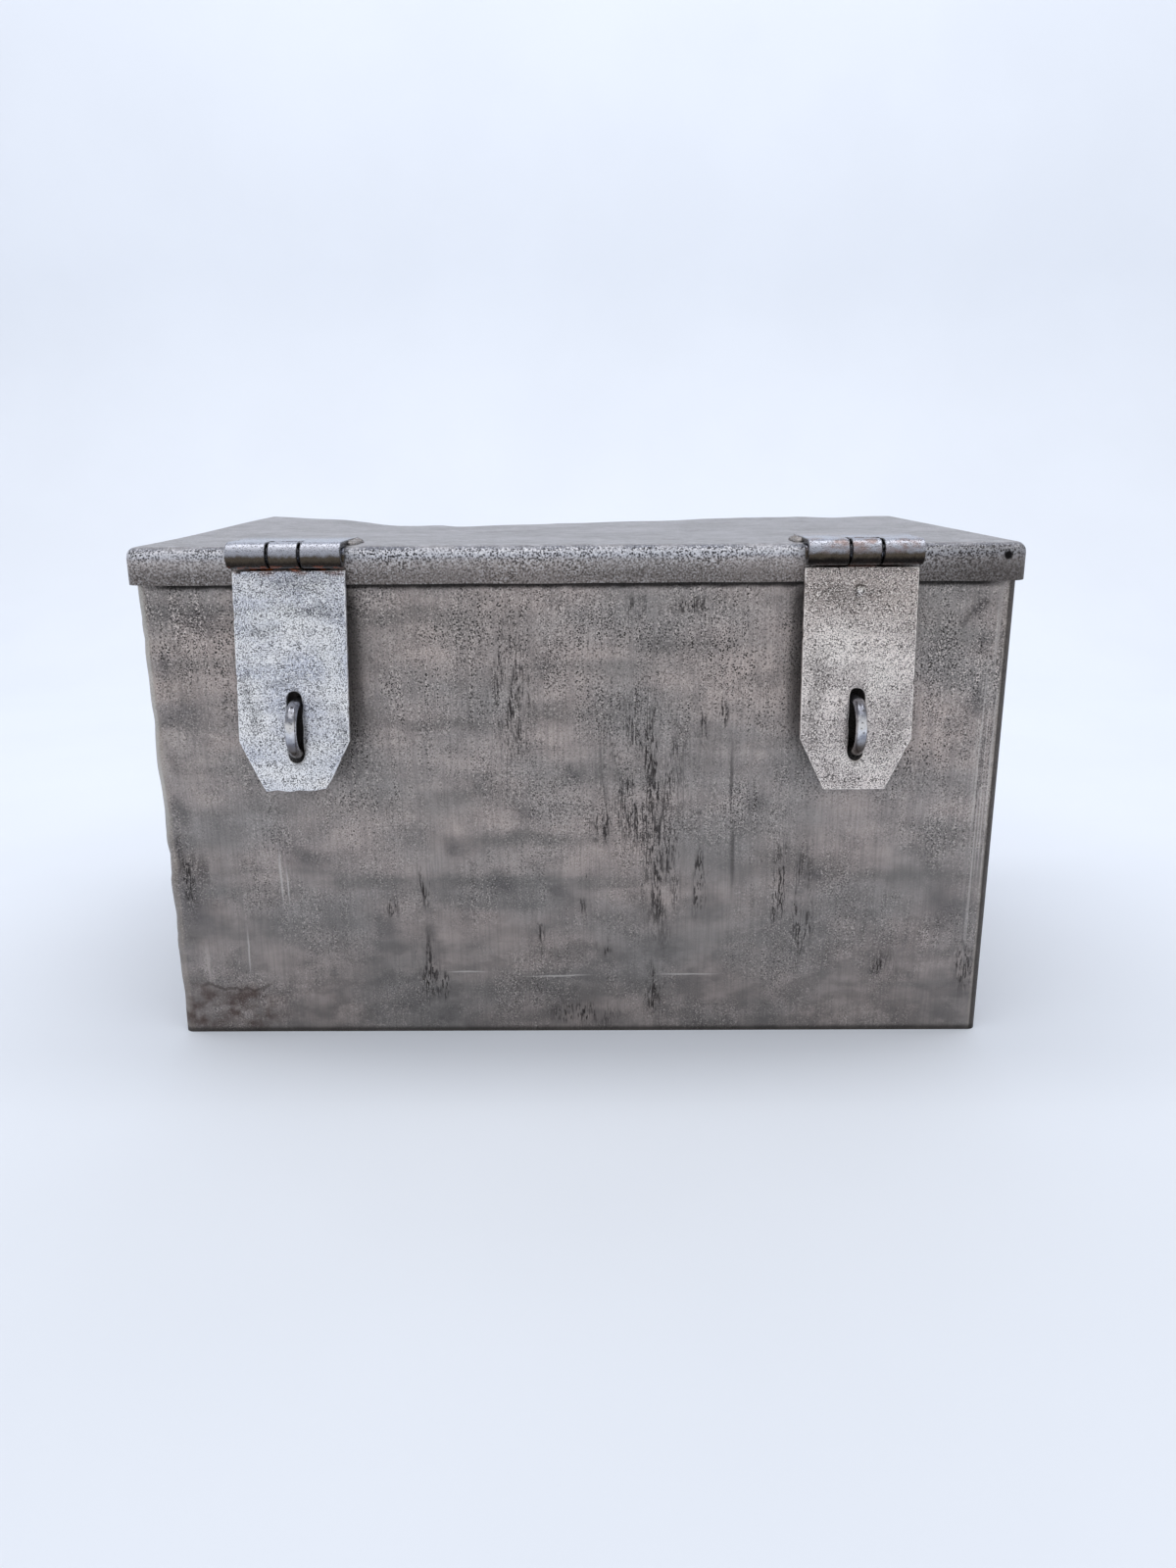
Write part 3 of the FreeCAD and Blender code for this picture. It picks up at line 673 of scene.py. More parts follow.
# Top of the lid
TOP_DARK = (140, 137, 137)
TOP_PALE = (161, 158, 160)
TOP_CLOUDS = ((0.060, 0.045, 0.05), 8, 41, 0.32, 0.70)
TOP_MOTTLE = ((0.009, 0.007, 0.05), 5, 42, 0.40, 0.66)
TOP_MOTTLE_COAT = (0.32, (196, 194, 197))
TOP_DULL = (((0.022, 0.015, 0.05), 6, 50, 0.56, 0.72), (0.28, (106, 100, 98)))
SCUFFED = ((0.07, 0.05, 0.05), 3, 48, 0.46, 0.62)
SCUFFS = [((0.0012, 0.070, 0.05), 2, seed, 0.62, 0.69) for seed in (60, 61, 62)]
SCUFF_TURNS = [math.radians(turn) for turn in (24, 78, 128)]
SCUFF_COAT = (0.45, (216, 214, 217))
FRONT_RUB = (LID_LOW.y + np.array((0.022, 0.008)), (0.2, (206, 205, 209)))


def lid_top(look, upward):
    """The lid's top: softly clouded and finely mottled, with thin scuffs in several directions."""
    bare = look.colour
    look.colour = look.blend(look.cover(*TOP_CLOUDS), TOP_DARK, TOP_PALE)
    mottle = look.cover(*TOP_MOTTLE)
    look.paint(TOP_MOTTLE_COAT, mottle)
    look.paint_noise(TOP_DULL)
    worn = look.cover(*SCUFFED)
    for scuffs, turn in zip(SCUFFS, SCUFF_TURNS):
        look.paint(SCUFF_COAT, look.cover(*scuffs, turn), worn)
    look.paint_ramp(look.axis("Y"), FRONT_RUB, mottle)
    look.keep(upward, bare)


# Raw sheet of the lid, with bands of painted highlight and painted shade round its bend that each run from
# foot to top
LID_WARM = (204, 194, 190)
LID_COOL = (182, 176, 174)
LID_HAZE = (0.5, (150, 145, 142))
UPWARD_FACING = (0.55, 0.97)
CURVED_FACING = (0.998, 0.97)
INWARD_FACING = (-0.45, -0.95)
ROUND_HEIGHTS = LID_HIGH.z - np.array((0.010, 0.003))
# Painted blue-white sheen round the bend
BEND_SHEEN_COAT = (0.8, (186, 188, 197))
SKIRT_TOP_DROP = 0.006
SKIRT_FOOT_RISE = 0.003
SKIRT_HEIGHTS = (LID_HIGH.z - SKIRT_TOP_DROP, LID_LOW.z + SKIRT_FOOT_RISE)
SKIRT_COAT = (0.42, (74, 66, 61))
SKIRT_FOOT_DARKENING_COAT = (0.40, (74, 66, 61))
# A painted highlight band round the bend
GLEAM = LID_HIGH.z - np.array((0.0068, 0.0052, 0.0040, 0.0028))
GLEAM_COAT = (0.33, (232, 234, 242))
# A painted dark band on the bend's crest
CREST = LID_HIGH.z - np.array((0.0030, 0.0018, 0.0008, 0.0001))
CREST_SHARES = (0.45, 0.25)
CREST_SHADE_COAT = (1.0, (84, 89, 104))
LID_PATCHES = ((0.030, 0.030, 0.02), 3, 52, 0.36, 0.60)
LID_PATCH_SHARES = (0.30, 0.56)
ROUND_PIT_SHARE = 0.20
CALM_SHARE = 0.72
LID_DARK = (0.95, (30, 27, 27))
LID_LIGHT = (0.6, (244, 243, 246))
RIGHT_DIRT = ((0.14, 0.24), (0.55, (64, 59, 57)))
# Under the knuckles: dark brown, partly rust and partly painted shade, with spots of rust
CREVICES = (0.6, [(side * HASP_X, KNUCKLE_FOOT, 0.030, 0.0055) for side in SIDES.values()])
CREVICE_SHADE_COAT = (1.0, (38, 25, 19))
CREVICE_RUST = (((0.007, 0.007, 0.003), 3, 54, 0.46, 0.56), (1.0, (158, 82, 38)))
CORNER_PIT = millimetres(0.5, [(242, 295, 3.2, 3.2)])
CORNER_PIT_COAT = (1.0, (18, 16, 16))


def band(look, height, levels):
    """1 between the two middle levels of a band, and 0 beyond its outer ones."""
    foot, low, high, top = levels
    return look.times(look.between(height, foot, low), look.between(height, top, high))


def lid_finish():
    """Raw sheet of the lid: pitted round the bend, with a painted blue-white sheen, a painted highlight and a
    painted dark crest there; darker towards the skirt's foot, and brushed on top.
    """
    look = Look("raw_lid_sheet")
    height = look.axis("Z")
    upward, curved, inward = (
        look.between(look.side("Z"), *ends) for ends in (UPWARD_FACING, CURVED_FACING, INWARD_FACING)
    )
    skirt = look.minus(1.0, upward)
    dull = look.times(look.between(height, *SKIRT_HEIGHTS), skirt)
    round_bend = look.between(height, *ROUND_HEIGHTS)
    patches = look.cover(*LID_PATCHES)
    drifting_steel(look, LID_WARM, LID_COOL, LID_HAZE)
    # Painted blue-white sheen on the bend
    look.paint(BEND_SHEEN_COAT, round_bend)
    look.paint(SKIRT_COAT, dull)
    # Painted highlight band on the bend
    look.paint(GLEAM_COAT, band(look, height, GLEAM))
    lid_top(look, upward)
    # Painted dark band on the bend's crest
    uneven = look.scaled(patches, *CREST_SHARES)
    look.paint(CREST_SHADE_COAT, band(look, height, CREST), curved, uneven)
    pitted = look.plus(look.scaled(patches, *LID_PATCH_SHARES), look.times(round_bend, ROUND_PIT_SHARE))
    where = look.times(pitted, look.minus(1.0, look.times(look.most(upward, inward), CALM_SHARE)))
    relief = add_speckle(look, where, LID_DARK, LID_LIGHT, *LID_SPECKLE)
    # The skirt again darker towards its foot, over the speckle
    look.paint(SKIRT_FOOT_DARKENING_COAT, dull)
    look.paint_ramp(look.axis("X"), RIGHT_DIRT, skirt)
    # Dark brown under the knuckles, partly rust and partly painted shade, then spots of rust
    crevice = look.times(look.marks(*CREVICES, wall=LID_LOW.y), skirt)
    look.paint(CREVICE_SHADE_COAT, crevice)
    look.paint_noise(CREVICE_RUST, crevice, rust_strength(look))
    pit = look.marks(*CORNER_PIT, wall=LID_LOW.y)
    look.paint(CORNER_PIT_COAT, pit)
    roughness = look.scaled(relief, ROUGH_SHARE, SHEET_ROUGHNESS)
    return look.done(roughness, look.minus(relief, pit), SHEET_BUMP, METAL_SHARE)


# Knuckles of the hasps
KNUCKLE_DEPTHS = (-0.116, -0.148)
KNUCKLE_HEIGHTS = HASP_Z - np.array((0.0095, 0.0082))
KNUCKLE_NOISE = ((0.003,) * 3, 3, 43, 0.003)
RUSTY = (0.5, [(HASP_X, HASP_Z, 0.075, WALL_DEPTH)])
RUSTY_BLOTCHES = (((0.008, 0.008, 0.005), 7, 45, 0.42, 0.66), (0.75, (124, 102, 95)))
# Brown on the lower half of the knuckles: partly dirt and partly painted shade
BROWN_DIRT_AND_SHADE = (HASP_Z + np.array((0.0032, 0.0002)), (1.0, (78, 69, 58)))
# Painted shade on the knuckles' undersides, darkest at the right hasp
DEEP_HEIGHTS = HASP_Z - np.array((0.0002, 0.0030))
DEEP_SHADE_COAT = (0.9, (34, 27, 22))
DEEP_RUSTY_SHADE_COAT = (0.8, (10, 5, 4))
RUST_HEIGHTS = HASP_Z - np.array((0.0050, 0.0066))
RUST = (((0.006, 0.006, 0.004), 3, 47, 0.48, 0.58), (1.0, (146, 74, 36)))
KNUCKLE_GAP = 0.0088
GAP_REACHES = (0.0015, 0.0007)
NOTCH_Y = -0.1510
NOTCH_DEPTHS = NOTCH_Y + np.array((0.001, -0.001))
END_FACING = (0.6, 0.9)
END_SHARE = 0.85
# Painted shade in the gaps between the knuckles and on their rolled ends
GAP_SHADE_COAT = (1.0, (16, 14, 13))


def add_knuckle(look, upper, dots):
    """Blue-grey above and darker below on the hasps' knuckles: brown that is partly dirt and partly painted
    shade, painted shade on their undersides, gaps and ends, and rust in the crevice under them.
    """
    height = look.axis("Z")
    depth = look.axis("Y")
    level = look.plus(height, look.ragged(*KNUCKLE_NOISE))
    rusty = look.marks(*RUSTY, wall=LID_LOW.y)
    deep = look.between(level, *DEEP_HEIGHTS)
    bare = look.colour
    look.colour = upper
    look.paint(*dots)
    look.paint_noise(RUSTY_BLOTCHES, rusty)
    look.paint_ramp(level, BROWN_DIRT_AND_SHADE)
    look.paint(DEEP_SHADE_COAT, deep)
    look.paint(DEEP_RUSTY_SHADE_COAT, deep, rusty)
    look.paint_noise(RUST, look.between(height, *RUST_HEIGHTS), rust_strength(look))
    from_gap = look.apart(look.apart(look.off_middle(), HASP_X), KNUCKLE_GAP)
    gap = look.times(look.between(from_gap, *GAP_REACHES), look.between(depth, *NOTCH_DEPTHS))
    ends = look.times(look.between(look.math("ABSOLUTE", look.side("X")), *END_FACING), END_SHARE)
    look.paint(GAP_SHADE_COAT, look.most(gap, ends))
    area = look.times(look.between(height, *KNUCKLE_HEIGHTS), look.between(depth, *KNUCKLE_DEPTHS))
    look.keep(area, bare)
    return area


# Marks on the straps
STRAP_SHADES = millimetres(0.0, [
    (150, 274, 34, 12), (136, 215, 10, 55), (182, 192, 12, 30), (-148, 267, 34, 7), (-178, 254, 16, 7),
    (-187, 215, 6, 35), (-134, 195, 9, 26), (-155, 283, 30, 8), (-165, 228, 20, 6),
])
POLISHED = millimetres(0.0, [
    (150, 243, 26, 22), (172, 226, 18, 24), (160, 180, 30, 14), (-165, 262, 34, 10), (-160, 182, 30, 20),
    (-140, 235, 12, 30),
])
SPATTER_X = 0.159
SPATTER_Z = 0.277
SPATTER_RADIUS = 0.0022
# A painted highlight on the spatter drop, and round it a dark ring, partly heat tint and partly painted shade
SPATTER_HIGHLIGHT = (0.5, [(SPATTER_X, SPATTER_Z, SPATTER_RADIUS, SPATTER_RADIUS)])
SPATTER_TINT_AND_SHADE_RING = (0.6, [(SPATTER_X, SPATTER_Z, 0.0046, 0.0042)])
SPATTER_TINT_AND_SHADE_COAT = (0.7, (60, 52, 48))
STRAP_PUSH = (0.02, 0.024, 55)
STRAP_SHADE_SHARE = 0.50
POLISH_SHARE = 0.75
SHOULDER_HEIGHTS = KNUCKLE_FOOT - np.array((0.0060, 0.0020))
SHOULDER_RUST = (((0.010, 0.010, 0.004), 4, 57, 0.44, 0.58), (0.8, (126, 72, 42)))
# Painted shade on the rims round the straps' slots
SLOT_RIMS = (0.75, [(side * HASP_X, STAPLE_Z, 0.0075, 0.0275) for side in SIDES.values()])
SLOT_RIM_SHADE_COAT = (0.6, (52, 48, 46))


def add_strap_marks(look, dark, light):
    """Shades and polished patches on the straps, rusty shoulders, and a drop of spatter with a painted
    highlight, in a dark ring that is partly heat tint and partly painted shade.
    """
    place = look.wavy(*STRAP_PUSH)
    look.paint((STRAP_SHADE_SHARE, dark), look.marks(*STRAP_SHADES, place))
    look.paint((POLISH_SHARE, light), look.marks(*POLISHED, place))
    shoulder = look.between(look.axis("Z"), *SHOULDER_HEIGHTS)
    look.paint_noise(SHOULDER_RUST, shoulder, rust_strength(look))
    look.paint(SPATTER_TINT_AND_SHADE_COAT, look.marks(*SPATTER_TINT_AND_SHADE_RING))
    look.paint((1.0, light), look.marks(*SPATTER_HIGHLIGHT))


# Flat bar
BAR_DRIFT = ((0.050, 0.050, 0.022), 4, 2, 0.36, 0.64)
TOP_NOISE = ((0.03,) * 3, 3, 51, 0.05)
TOP_HEIGHTS = (0.262, 0.305)
CLUMPS = ((0.0028,) * 3, 2, 49, 0.36, 0.60)
CLUMP_SHARES = (0.50, 0.50)
BAR_DARK_SHARE = 0.95
BAR_LIGHT_SHARE = 0.9
BAR_WEAR_REACH = 0.0009
BAR_WEAR_SHARE = 0.9
BACK_FACING = (0.3, 0.7)
SCALE_AND_SHADE_SHARE = 0.85
DOT_SHARES = (0.34, 0.08)
DOT_COAT_SHARE = 0.55
BAR_ROUGHNESS = 0.36
KNUCKLE_POLISH_SHARE = 0.20
BAR_BUMP = 0.00016


def bar_finish(
    name, warm, cool, dark, light, speckle_share=1.0, top_colour=None, knuckle=None, scale_and_shade=None,
):
    """Flat bar with salt-and-pepper speckle and bright edges, perhaps with knuckles darker below from dirt
    and painted shade, and a back dark from mill scale and painted shade.
    """
    look = Look(name)
    look.colour = look.blend(look.cover(*BAR_DRIFT), cool, warm)
    if top_colour:
        stained = look.plus(look.axis("Z"), look.ragged(*TOP_NOISE))
        look.paint((1.0, top_colour), look.between(stained, *TOP_HEIGHTS))
    if scale_and_shade:
        add_strap_marks(look, dark, light)
    where = look.times(look.scaled(look.cover(*CLUMPS), *CLUMP_SHARES), speckle_share)
    coats = (BAR_DARK_SHARE, dark), (BAR_LIGHT_SHARE, light)
    relief = add_speckle(look, where, *coats, *BAR_SPECKLE)
    add_wear(look, BAR_WEAR_REACH, (BAR_WEAR_SHARE, light))
    if scale_and_shade:
        # Painted shade round the slots
        look.paint(SLOT_RIM_SHADE_COAT, look.marks(*SLOT_RIMS))
        # The straps' backs: dark, partly mill scale and partly painted shade
        look.paint((SCALE_AND_SHADE_SHARE, scale_and_shade), look.between(look.side("Y"), *BACK_FACING))
    roughness = look.scaled(relief, ROUGH_SHARE, BAR_ROUGHNESS)
    if knuckle:
        dots = (DOT_COAT_SHARE, dark), look.between(relief, *DOT_SHARES)
        area = add_knuckle(look, knuckle, dots)
        roughness = look.minus(roughness, look.times(area, KNUCKLE_POLISH_SHARE))
    return look.done(roughness, relief, BAR_BUMP, METAL_SHARE)


# Round rod
ROD_PATCHES = ((0.010, 0.010, 0.006), 4, 0, 0.38, 0.62)
ROD_DARK = (130, 132, 142)
ROD_PALE = (172, 173, 180)
ROD_NOISE = ((0.005,) * 3, 3, 53, 0.010)
# A painted highlight band, and below it brown that is partly dirt and partly a painted dark reflection
SHINE_RISE = 0.008
SHINE = ((0.0065, 0.0015), (0.8, (244, 243, 244)))
DIRT_AND_DARK_REFLECTION = (STAPLE_Z + np.array((0.004, -0.007)), (0.9, (78, 67, 57)))
ROD_GRIT = ((0.0016,) * 3, 2, 7)
ROD_PITS = ((0.42, 0.32), (0.7, (58, 52, 48)))
ROD_ROUGHNESS = 0.08
ROD_BUMP = 0.0001
ROD_METAL_SHARE = 0.95


def rod_finish():
    """Round rod on the staples: blue-grey with a painted highlight above, and below it brown that is partly
    dirt and partly a painted dark reflection.
    """
    look = Look("round_rod_steel")
    level = look.plus(look.axis("Z"), look.ragged(*ROD_NOISE))
    look.colour = look.blend(look.cover(*ROD_PATCHES), ROD_DARK, ROD_PALE)
    look.paint_ramp(look.apart(level, STAPLE_Z + SHINE_RISE), SHINE)
    look.paint_ramp(level, DIRT_AND_DARK_REFLECTION)
    grit = look.noise(*ROD_GRIT)
    look.paint_ramp(grit, ROD_PITS)
    roughness = look.scaled(grit, ROUGH_SHARE, ROD_ROUGHNESS)
    return look.done(roughness, grit, ROD_BUMP, ROD_METAL_SHARE)


# One finish for each material slot
KNUCKLE_BLUE = (166, 168, 178)
# Dark backs of the straps: partly mill scale, partly painted shade
BACK_SCALE_AND_SHADE = (54, 50, 48)
FINISHES = {
    "body_sheet": body_finish(),
    "lid_sheet": lid_finish(),
    "bright_bar": bar_finish(
        "bright_flat_bar", (255, 254, 255), (214, 217, 229), (42, 42, 48), (255, 255, 255),
        knuckle=KNUCKLE_BLUE, scale_and_shade=BACK_SCALE_AND_SHADE,
    ),
    "warm_bar": bar_finish(
        "warm_flat_bar", (252, 242, 237), (202, 193, 190), (46, 42, 40), (255, 248, 242),
        top_colour=(200, 188, 182), knuckle=KNUCKLE_BLUE, scale_and_shade=BACK_SCALE_AND_SHADE,
    ),
    "hinge_bar": bar_finish(
        "dull_flat_bar", (170, 164, 162), (152, 150, 152), (56, 52, 50), (204, 202, 204),
        speckle_share=0.6, knuckle=KNUCKLE_BLUE,
    ),
    "round_rod": rod_finish(),
    "weld_bead": bar_finish(
        "weld_bead_steel", (150, 145, 143), (134, 132, 136), (64, 58, 54), (200, 198, 200),
        speckle_share=0.7,
    ),
}


# Shapes of wear: waves are their length and seed
EDGE_DENTS = [
    (0.262, 0.0005, 0.005), (0.250, 0.0008, 0.005), (0.226, 0.0003, 0.010), (0.201, 0.0011, 0.008),
    (0.150, 0.0010, 0.016), (0.1175, 0.0016, 0.007), (0.107, 0.0010, 0.004), (0.078, 0.0009, 0.008),
    (0.066, 0.0007, 0.004), (0.024, 0.0007, 0.009),
]
DENT_REACH = 0.014
DENT_SIDE_SHARE = 0.6
LID_PLACES = [-0.254, -0.200, -0.157, -0.101, -0.062, 0.057, 0.108, 0.151, 0.254]
LID_LIFTS = [0.0030, 0.0005, -0.0030, -0.0055, -0.0050, -0.0025, -0.0010, 0.0, 0.0]
LIFT_START = -0.11
RIM_HEIGHTS = BODY_HIGH.z - np.array((0.10, 0.0))
SKIN = 0.004
WALL_FOOT = (0.0, 0.05)
WALL_TOP = BODY_HIGH.z - np.array((0.06, 0.02))
FRONT_ENDS = BODY_HIGH.x - np.array((0.05, 0.006))
SIDE_ENDS = BODY_HIGH.y - np.array((0.05, 0.006))
WALL_WAVES = (0.10, 21)
FRONT_BULGE = 0.0006
SIDE_BULGE = 0.0007
HAMMER_WAVES = (0.030, 22)
HAMMER_REACH = 0.030
HAMMER_DEPTH = 0.0005


def lid_lift(points):
    """How far the lid's bent rear part stands above or below its flat shape."""
    rear = smooth(points[:, 1], LIFT_START, LID_HIGH.y)
    return np.interp(points[:, 0], LID_PLACES, LID_LIFTS) * rear


def rim_drop(points):
    """The walls' rims give way where the lid is pressed down."""
    return np.minimum(lid_lift(points), 0) * smooth(points[:, 2], *RIM_HEIGHTS)


def wear_body(points, *_):
    """Shallow waves in the walls, and the dented left front edge."""
    shift = np.zeros_like(points)
    x, y, z = points.T
    front = y < BODY_LOW.y + SKIN
    ends = np.abs(x) > BODY_HIGH.x - SKIN
    level = smooth(z, *WALL_FOOT) * fade(z, *WALL_TOP)
    bulge = waves(points, *WALL_WAVES) * level
    shift[:, 1] += FRONT_BULGE * bulge * fade(np.abs(x), *FRONT_ENDS) * front
    shift[:, 0] += SIDE_BULGE * bulge * fade(np.abs(y), *SIDE_ENDS) * ends
    near = hill(np.hypot(x - BODY_LOW.x, y - BODY_LOW.y), 0.0, DENT_REACH)
    for height, depth, radius in EDGE_DENTS:
        push = depth * near * hill(z, height, radius)
        shift[:, 0] += DENT_SIDE_SHARE * push
        shift[:, 1] += push
    hammered = waves(points, *HAMMER_WAVES) * hill(x, BODY_LOW.x, HAMMER_REACH) * level
    shift[:, 1] += HAMMER_DEPTH * hammered * front
    shift[:, 2] += rim_drop(points)
    return shift


# Wear of the back and the floor
BACK_TOP = (0.20, 0.27)
BACK_ENDS = BODY_HIGH.x - np.array((0.07, 0.03))
BACK_WAVES = (0.12, 24)
BACK_BULGE = 0.0008
INNER_ENDS = (0.20, 0.24)
PAN_SIDES = (0.10, 0.14)
PAN_WAVES = (0.13, 25)
PAN_RISE = 0.0008
PAN_MOST_SHARE = 2


def wear_back(points, *_):
    """Shallow waves, and a rim that follows the lid."""
    shift = np.zeros_like(points)
    level = smooth(points[:, 2], *WALL_FOOT) * fade(points[:, 2], *BACK_TOP)
    across = fade(np.abs(points[:, 0]), *BACK_ENDS)
    shift[:, 1] += BACK_BULGE * waves(points, *BACK_WAVES) * across * level
    shift[:, 2] += rim_drop(points)
    return shift


def wear_pan(points, *_):
    """A floor that has been pressed up a little in places."""
    shift = np.zeros_like(points)
    inner = fade(np.abs(points[:, 0]), *INNER_ENDS) * fade(np.abs(points[:, 1]), *PAN_SIDES)
    rise = np.clip(waves(points, *PAN_WAVES), 0, PAN_MOST_SHARE)
    shift[:, 2] += PAN_RISE * rise * inner * (points[:, 2] < SKIN)
    return shift


# Wear of the lid
LIP_HEIGHTS = LID_LOW.z + np.array((0.0, 0.012))
LIP_WAVES = (0.07, 26)
LIP_WAVE = 0.00015
SKIRT_SKIN = 0.003
SKIRT_ENDS = (0.22, 0.25)
SKIRT_WAVES = (0.06, 27)
SKIRT_DENT = 0.0003
BEND_FOOT_RISE = 0.008
BEND_TOP_DROP = 0.004
BEND_HEIGHTS = (LID_LOW.z + BEND_FOOT_RISE, LID_HIGH.z - BEND_TOP_DROP)
FLAT_HEIGHTS = LID_HIGH.z - np.array((0.003, 0.0016))
FLAT_DEPTHS = (-0.11, -0.05)
FLAT_WAVES = (0.09, 28)
FLAT_DIP = 0.0005


def wear_lid(points, *_):
    """The lid's bent rear edge, wavy skirt and dipped top."""
    shift = np.zeros_like(points)
    x, y, z = points.T
    shift[:, 2] += lid_lift(points)
    shift[:, 2] += LIP_WAVE * fade(z, *LIP_HEIGHTS) * waves(points, *LIP_WAVES)
    front = (y < LID_LOW.y + SKIRT_SKIN) * fade(np.abs(x), *SKIRT_ENDS) * fade(z, *BEND_HEIGHTS)
    shift[:, 1] += SKIRT_DENT * (1 + np.abs(waves(points, *SKIRT_WAVES))) * front
    flat = smooth(z, *FLAT_HEIGHTS) * fade(np.abs(x), *INNER_ENDS) * smooth(y, *FLAT_DEPTHS)
    shift[:, 2] -= FLAT_DIP * np.abs(waves(points, *FLAT_WAVES)) * flat
    return shift


# Wear of the bars and welds
NICK_WAVES = (0.011, 31)
NICK_LEAST_SHARE = 0.6
NICK_MOST_SHARE = 1.2
NICK_REACH = 0.0018
NICK_DEPTH = 0.0004
SKIRT_DROP_FOOT_RISE = 0.002
SKIRT_DROP_TOP_DROP = 0.009
SKIRT_DROP_HEIGHTS = (LID_LOW.z + SKIRT_DROP_FOOT_RISE, LID_HIGH.z - SKIRT_DROP_TOP_DROP)
LEAN_SHARE = 0.020
LEAN_TOP_DROP = 0.008
LEAN_REACHES = (0.008, 0.022)
TIP_HEIGHTS = STRAP_TIP + np.array((0.0, 0.012))
TIP_WAVES = (0.022, 33)
TIP_WEAR = 0.0004
KNOCKED_X = -0.1435
KNOCKED_WIDTH = 0.006
KNOCKED_HEIGHT = 0.005
KNOCKED_FORWARD = 0.0016
KNOCKED_UP = 0.0020
SPATTER_HEIGHT = 0.0016
LUMP_WAVES = (0.006, 35)
LUMP_SIZE = 0.00022


def wear_bar(points, normals, distances):
    """Nicks along the edges."""
    nicks = np.clip(waves(points, *NICK_WAVES) - NICK_LEAST_SHARE, 0, NICK_MOST_SHARE)
    return -normals * (NICK_DEPTH * nicks * fade(distances, 0.0, NICK_REACH))[:, None]


def skirt_drop(points):
    """How far the top of what is welded to the rear skirt goes down with it."""
    return np.minimum(lid_lift(points), 0) * smooth(points[:, 2], *SKIRT_DROP_HEIGHTS)


def wear_lid_leaf(points, normals, distances):
    """Nicks, and a top edge that follows the lid's bent skirt."""
    shift = wear_bar(points, normals, distances)
    shift[:, 2] += skirt_drop(points)
    return shift


def wear_left_strap(points, normals, distances):
    """Nicks, a lean to one side, an uneven tip and a corner knocked forward."""
    shift = wear_bar(points, normals, distances)
    x, z = points[:, 0], points[:, 2]
    outer = smooth(np.abs(x + HASP_X), *LEAN_REACHES)
    shift[:, 0] += LEAN_SHARE * np.minimum(z - (HASP_Z - LEAN_TOP_DROP), 0) * (1 + outer) / 2
    shift[:, 2] += TIP_WEAR * fade(z, *TIP_HEIGHTS) * np.abs(waves(points, *TIP_WAVES))
    corner = hill(x, KNOCKED_X, KNOCKED_WIDTH) * hill(z, STRAP_TIP, KNOCKED_HEIGHT)
    shift[:, 1] -= KNOCKED_FORWARD * corner
    shift[:, 2] += KNOCKED_UP * corner
    return shift


def wear_right_strap(points, normals, distances):
    """Nicks and a drop of weld spatter."""
    shift = wear_bar(points, normals, distances)
    drop = hill(points[:, 0], SPATTER_X, SPATTER_RADIUS) * hill(points[:, 2], SPATTER_Z, SPATTER_RADIUS)
    shift[:, 1] -= SPATTER_HEIGHT * drop * (normals[:, 1] < 0)
    return shift


def wear_ring_bead(points, normals, distances):
    """A weld's lumps, round a staple's leg."""
    lumps = LUMP_SIZE * (waves(points, *LUMP_WAVES) - 1)
    return normals * lumps[:, None]


def finish_piece(piece, node):
    """Makes a piece ride in the place of a CAD node, with its finish."""
    piece.data.materials.append(FINISHES[NODE_SLOT[node]])
    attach(piece, NODE_BODY[node])
    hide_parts(node)


def dress(node, spacing, edge_round, edge_angle, wear):
    """Puts a worn piece in the place of a CAD node."""
    piece, distances = dense_copy(node, spacing, edge_round, edge_angle)
    points = read_vectors(piece.data.vertices, "co")
    normals = read_vectors(piece.data.vertex_normals, "vector")
    write_points(piece.data, points + wear(points, normals, distances))
    finish_piece(piece, node)


# Weld beads and staples
BEAD_SEED = 61
BEAD_RIPPLES = 11
BEAD_STEPS = 88
BEAD_SIDES = 10
BEAD_WIDTH_SHARE = 1.7
BEAD_WAIST_SHARE = 0.78
BEAD_LEAST_SHARE = 0.86
BEAD_END_RATE = 9.0
STAPLE_STEPS = 40
STAPLE_SIDES = 24


def skin(grid, rings):
    """Faces from each ring of vertices to the next, and one on each end."""
    for ring, after in zip(rings, rings[1:]):
        for turn in range(len(ring)):
            grid.faces.new((ring[turn - 1], ring[turn], after[turn], after[turn - 1]))
    for ring in (rings[0], rings[-1]):
        grid.faces.new(ring)


def bead_size(share, draw):
    """A weld bead's size along its run: overlapping ripples between round ends."""
    ends = min(1.0, BEAD_END_RATE * share, BEAD_END_RATE * (1 - share))
    ripple = (share * BEAD_RIPPLES) % 1.0
    swell = BEAD_WAIST_SHARE + (1 - BEAD_WAIST_SHARE) * math.sqrt(1 - ripple ** 2)
    return math.sqrt(1 - (1 - ends) ** 2) * swell * draw


def bead_ring(corner, size, outward, normal):
    """Points round a bead's section: a quarter of an ellipse, then the corner that it fills."""
    ring = []
    for turn in range(BEAD_SIDES + 1):
        angle = math.pi / 2 * turn / BEAD_SIDES
        point = corner.copy()
        point.x += outward * BEAD_WIDTH_SHARE * size * math.cos(angle)
        point[normal] += size * math.sin(angle)
        ring.append(point)
    return ring + [corner]


